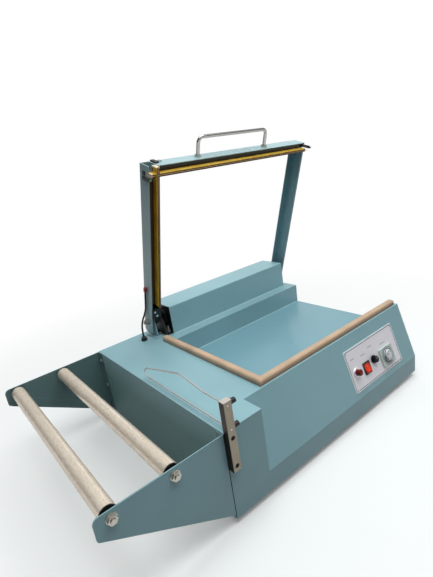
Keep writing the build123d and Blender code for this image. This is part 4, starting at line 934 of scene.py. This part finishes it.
def pointer(name, at, along, size, chamfer, mat, body):
    """Raised line on the cap of a knob."""
    bm = bmesh.new()
    x = along.normalized()
    block(bm, at, x, SLOPE_OUT.cross(x), SLOPE_OUT, size, chamfer)
    add(name, bm, mat, body, 0)


frame_on_plate("panel_border", 0.0, 1.2, 0.12, M["ink"])
frame_on_plate("panel_rim", 1.9, 2.2, 0.08, M["rim_print"])

# a short bar stands over each control where a label would be
LABEL_RISE, LABEL_WIDTH = 30, 0.9
bm = bmesh.new()
for (u, v), length in ((LAMP, 12), (ROCKER, 14), (KNOB, 14), (TIMER, 20)):
    v += LABEL_RISE
    line_on_plate(bm, u - length / 2, v, u + length / 2, v, LABEL_WIDTH)
add("panel_marks", bm, M["ink"], "machine", 0)

# rocker: a raised line and a ring, moulded in the two slopes of its key
KEY_MARK_OUT = 4.6  # from the middle of the key to each mark
ON_LIFT, ON_RUN, ON_FALL = 4.15, 9.1, 3.0  # height on the plate, then how that half slopes
OFF_LIFT, OFF_RUN, OFF_FALL = 1.98, 9.5, 1.4
on_up = (SLOPE_UP * ON_RUN - SLOPE_OUT * ON_FALL).normalized()
bm = bmesh.new()
block(bm, on_slope(ROCKER[0], ROCKER[1] - KEY_MARK_OUT, PLATE + ON_LIFT), X, on_up,
      X.cross(on_up), (0.9, 3.6, 0.25), 0.08)
add("rocker_mark_on", bm, M["key_mark"], "power_rocker", 0)
off_up = (SLOPE_UP * OFF_RUN - SLOPE_OUT * OFF_FALL).normalized()
off_middle = on_slope(ROCKER[0], ROCKER[1] + KEY_MARK_OUT, PLATE + OFF_LIFT)
bm = bmesh.new()
tube(bm, arc_points(off_middle, X, off_up, 1.7, 0.0, math.tau, 24), 0.32, 8, True)
add("rocker_mark_off", bm, M["key_mark"], "power_rocker", 0)

# knob: pale pointer on its cap and ticks round it
pointer("knob_pointer", on_slope(KNOB[0] + 2.6, KNOB[1] + 2.6, PLATE + 9.65), X + SLOPE_UP,
        (6.0, 1.0, 0.25), 0.08, M["pale_ink"], "time_knob")
scale_on_plate("knob_scale", KNOB, [(225 - 27 * i, 11.0, 12.6, 0.5) for i in range(11)], PLATE)

# timer: ticks and rings round the dial, a pointer, and a dark crescent on it that is painted shadow
long_tick, short_tick = (17.6, 20.2, 0.6), (17.9, 19.2, 0.35)
ticks = [(240 - 10 * i, *(long_tick if i % 5 == 0 else short_tick)) for i in range(31)]
scale_on_plate("timer_scale", TIMER, ticks, PLATE + TIMER_FACE)
for name, radius, thick, lift, body in (
    ("timer_ring_16", 16.4, 0.5, 0.0, "machine"),
    ("timer_ring_20", 20.4, 0.34, 0.0, "machine"),
    ("timer_ring_9", 9.2, 0.3, 5.3, "timer_dial"),
):
    middle = on_slope(*TIMER, PLATE + TIMER_FACE + lift)
    bm = bmesh.new()
    tube(bm, arc_points(middle, X, SLOPE_UP, radius, 0.0, math.tau, 56), thick, 6, True)
    add(name, bm, M["ink"], body, 0)
pointer("timer_pointer", on_slope(TIMER[0] - 4.5, TIMER[1] + 4.5, PLATE + TIMER_FACE + 5.35),
        SLOPE_UP - X, (9.0, 1.3, 0.3), 0.1, M["ink"], "timer_dial")
ARC_STEPS, ARC_RADIUS, ARC_LIFT = 30, 12.6, 5.35
ARC_START, ARC_SWEEP = math.radians(104), math.radians(116)
arc = arc_points(on_slope(*TIMER, PLATE + ARC_LIFT), X, SLOPE_UP, ARC_RADIUS, ARC_START,
                 ARC_SWEEP * (ARC_STEPS + 1) / ARC_STEPS, ARC_STEPS + 1)
# painted shadow: a dark crescent, thickest in its middle, on the dial
bm = bmesh.new()
tube(bm, arc, [0.35 + 0.75 * math.sin(math.pi * i / ARC_STEPS) for i in range(ARC_STEPS + 1)], 8)
add("timer_shadow_crescent", bm, M["ink"], "timer_dial", 60)


# ---------------------------------------------------------------- light and surroundings
def floor_material(name):
    """Pale studio paper that turns to plain white away from the object, for what is seen of it."""
    m = Nodes(name)
    rays = m.new("LightPath").outputs
    mirrored = m.math("MAXIMUM", rays["Is Glossy Ray"], rays["Is Transmission Ray"])
    seen = m.math("MAXIMUM", rays["Is Camera Ray"], mirrored)
    paper = m.mix(m.noise(2, 2), (0.80, 0.80, 0.80), (0.84, 0.84, 0.84))
    m.put(Base_Color=m.mix(seen, (0.1, 0.1, 0.1), paper), Roughness=0.9, Specular_IOR_Level=0.1)
    glow = m.new("Emission")
    glow.inputs[0].default_value = (1, 1, 1, 1)
    glow.inputs[1].default_value = 1.0
    metres = m.vector("LENGTH", m.coord)["Value"]
    far = m.ramp(m.math("DIVIDE", metres, 2.0), (0.2, 0.12), (0.6, 1.0))
    mixer = m.new("MixShader")
    m.link(m.math("MULTIPLY", seen, far), mixer.inputs[0])
    m.link(m.bsdf.outputs[0], mixer.inputs[1])
    m.link(glow.outputs[0], mixer.inputs[2])
    m.link(mixer.outputs[0], m.out.inputs[0])
    return m.mat


class Sky(Nodes):
    """The same helper on the nodes of a world."""

    def __init__(self, name):
        self.world = bpy.data.worlds.new(name)
        self.world.use_nodes = True
        self.t = self.world.node_tree
        self.t.nodes.clear()
        self.split = self.new("SeparateXYZ")
        self.link(self.new("TexCoord").outputs["Generated"], self.split.inputs[0])

    def rise(self, axis, *stops):
        """Colour by the direction's X, Y or Z: stops from 0, looking against it, to 1, along it."""
        return self.ramp(self.vary(self.split.outputs[axis], 0.5, 0.5), *stops)


bm = bmesh.new()
bmesh.ops.create_grid(bm, x_segments=8, y_segments=8, size=14)
floor = add("floor", bm, floor_material("floor"), None, 0)

# soft sky that is darker at its foot and on the left; the camera sees plain white
w = Sky("world")
scene.world = w.world
height = w.rise("Z", (0.48, (0.07, 0.074, 0.071)), (0.72, (0.30, 0.31, 0.305)),
                (1.0, (0.80, 0.84, 0.84)))
side = w.rise("X", (0.1, 0.55), (0.5, 1.0))
sky, white = w.new("Background"), w.new("Background")
w.link(w.mix(1.0, height, side, "MULTIPLY"), sky.inputs[0])
white.inputs[0].default_value = (1, 1, 1, 1)
choose = w.new("MixShader")
w.link(w.new("LightPath").outputs["Is Camera Ray"], choose.inputs[0])
w.link(sky.outputs[0], choose.inputs[1])
w.link(white.outputs[0], choose.inputs[2])
w.link(choose.outputs[0], w.new("OutputWorld").inputs[0])


def lamp(name, at, to, size, watts, rgb=(1, 1, 1)):
    d = bpy.data.lights.new(name, "AREA")
    d.shape = "RECTANGLE"
    d.size, d.size_y = size
    d.energy = watts
    d.color = rgb
    o = bpy.data.objects.new(name, d)
    scene.collection.objects.link(o)
    o.location = at
    o.rotation_euler = (Vector(to) - Vector(at)).to_track_quat("-Z", "Y").to_euler()


lamp("top", (0.2, -0.4, 2.4), (0.1, 0, 0.1), (2.2, 1.6), 48, (0.96, 1.0, 1.0))
lamp("window", (2.3, 2.6, 1.5), (0.1, 0, 0.2), (2.6, 1.4), 9)
lamp("key", (1.0, -1.5, 2.2), (0.1, 0, 0.2), (1.4, 1.2), 3.5, (0.97, 1.0, 1.0))

scene.view_settings.view_transform = "Standard"
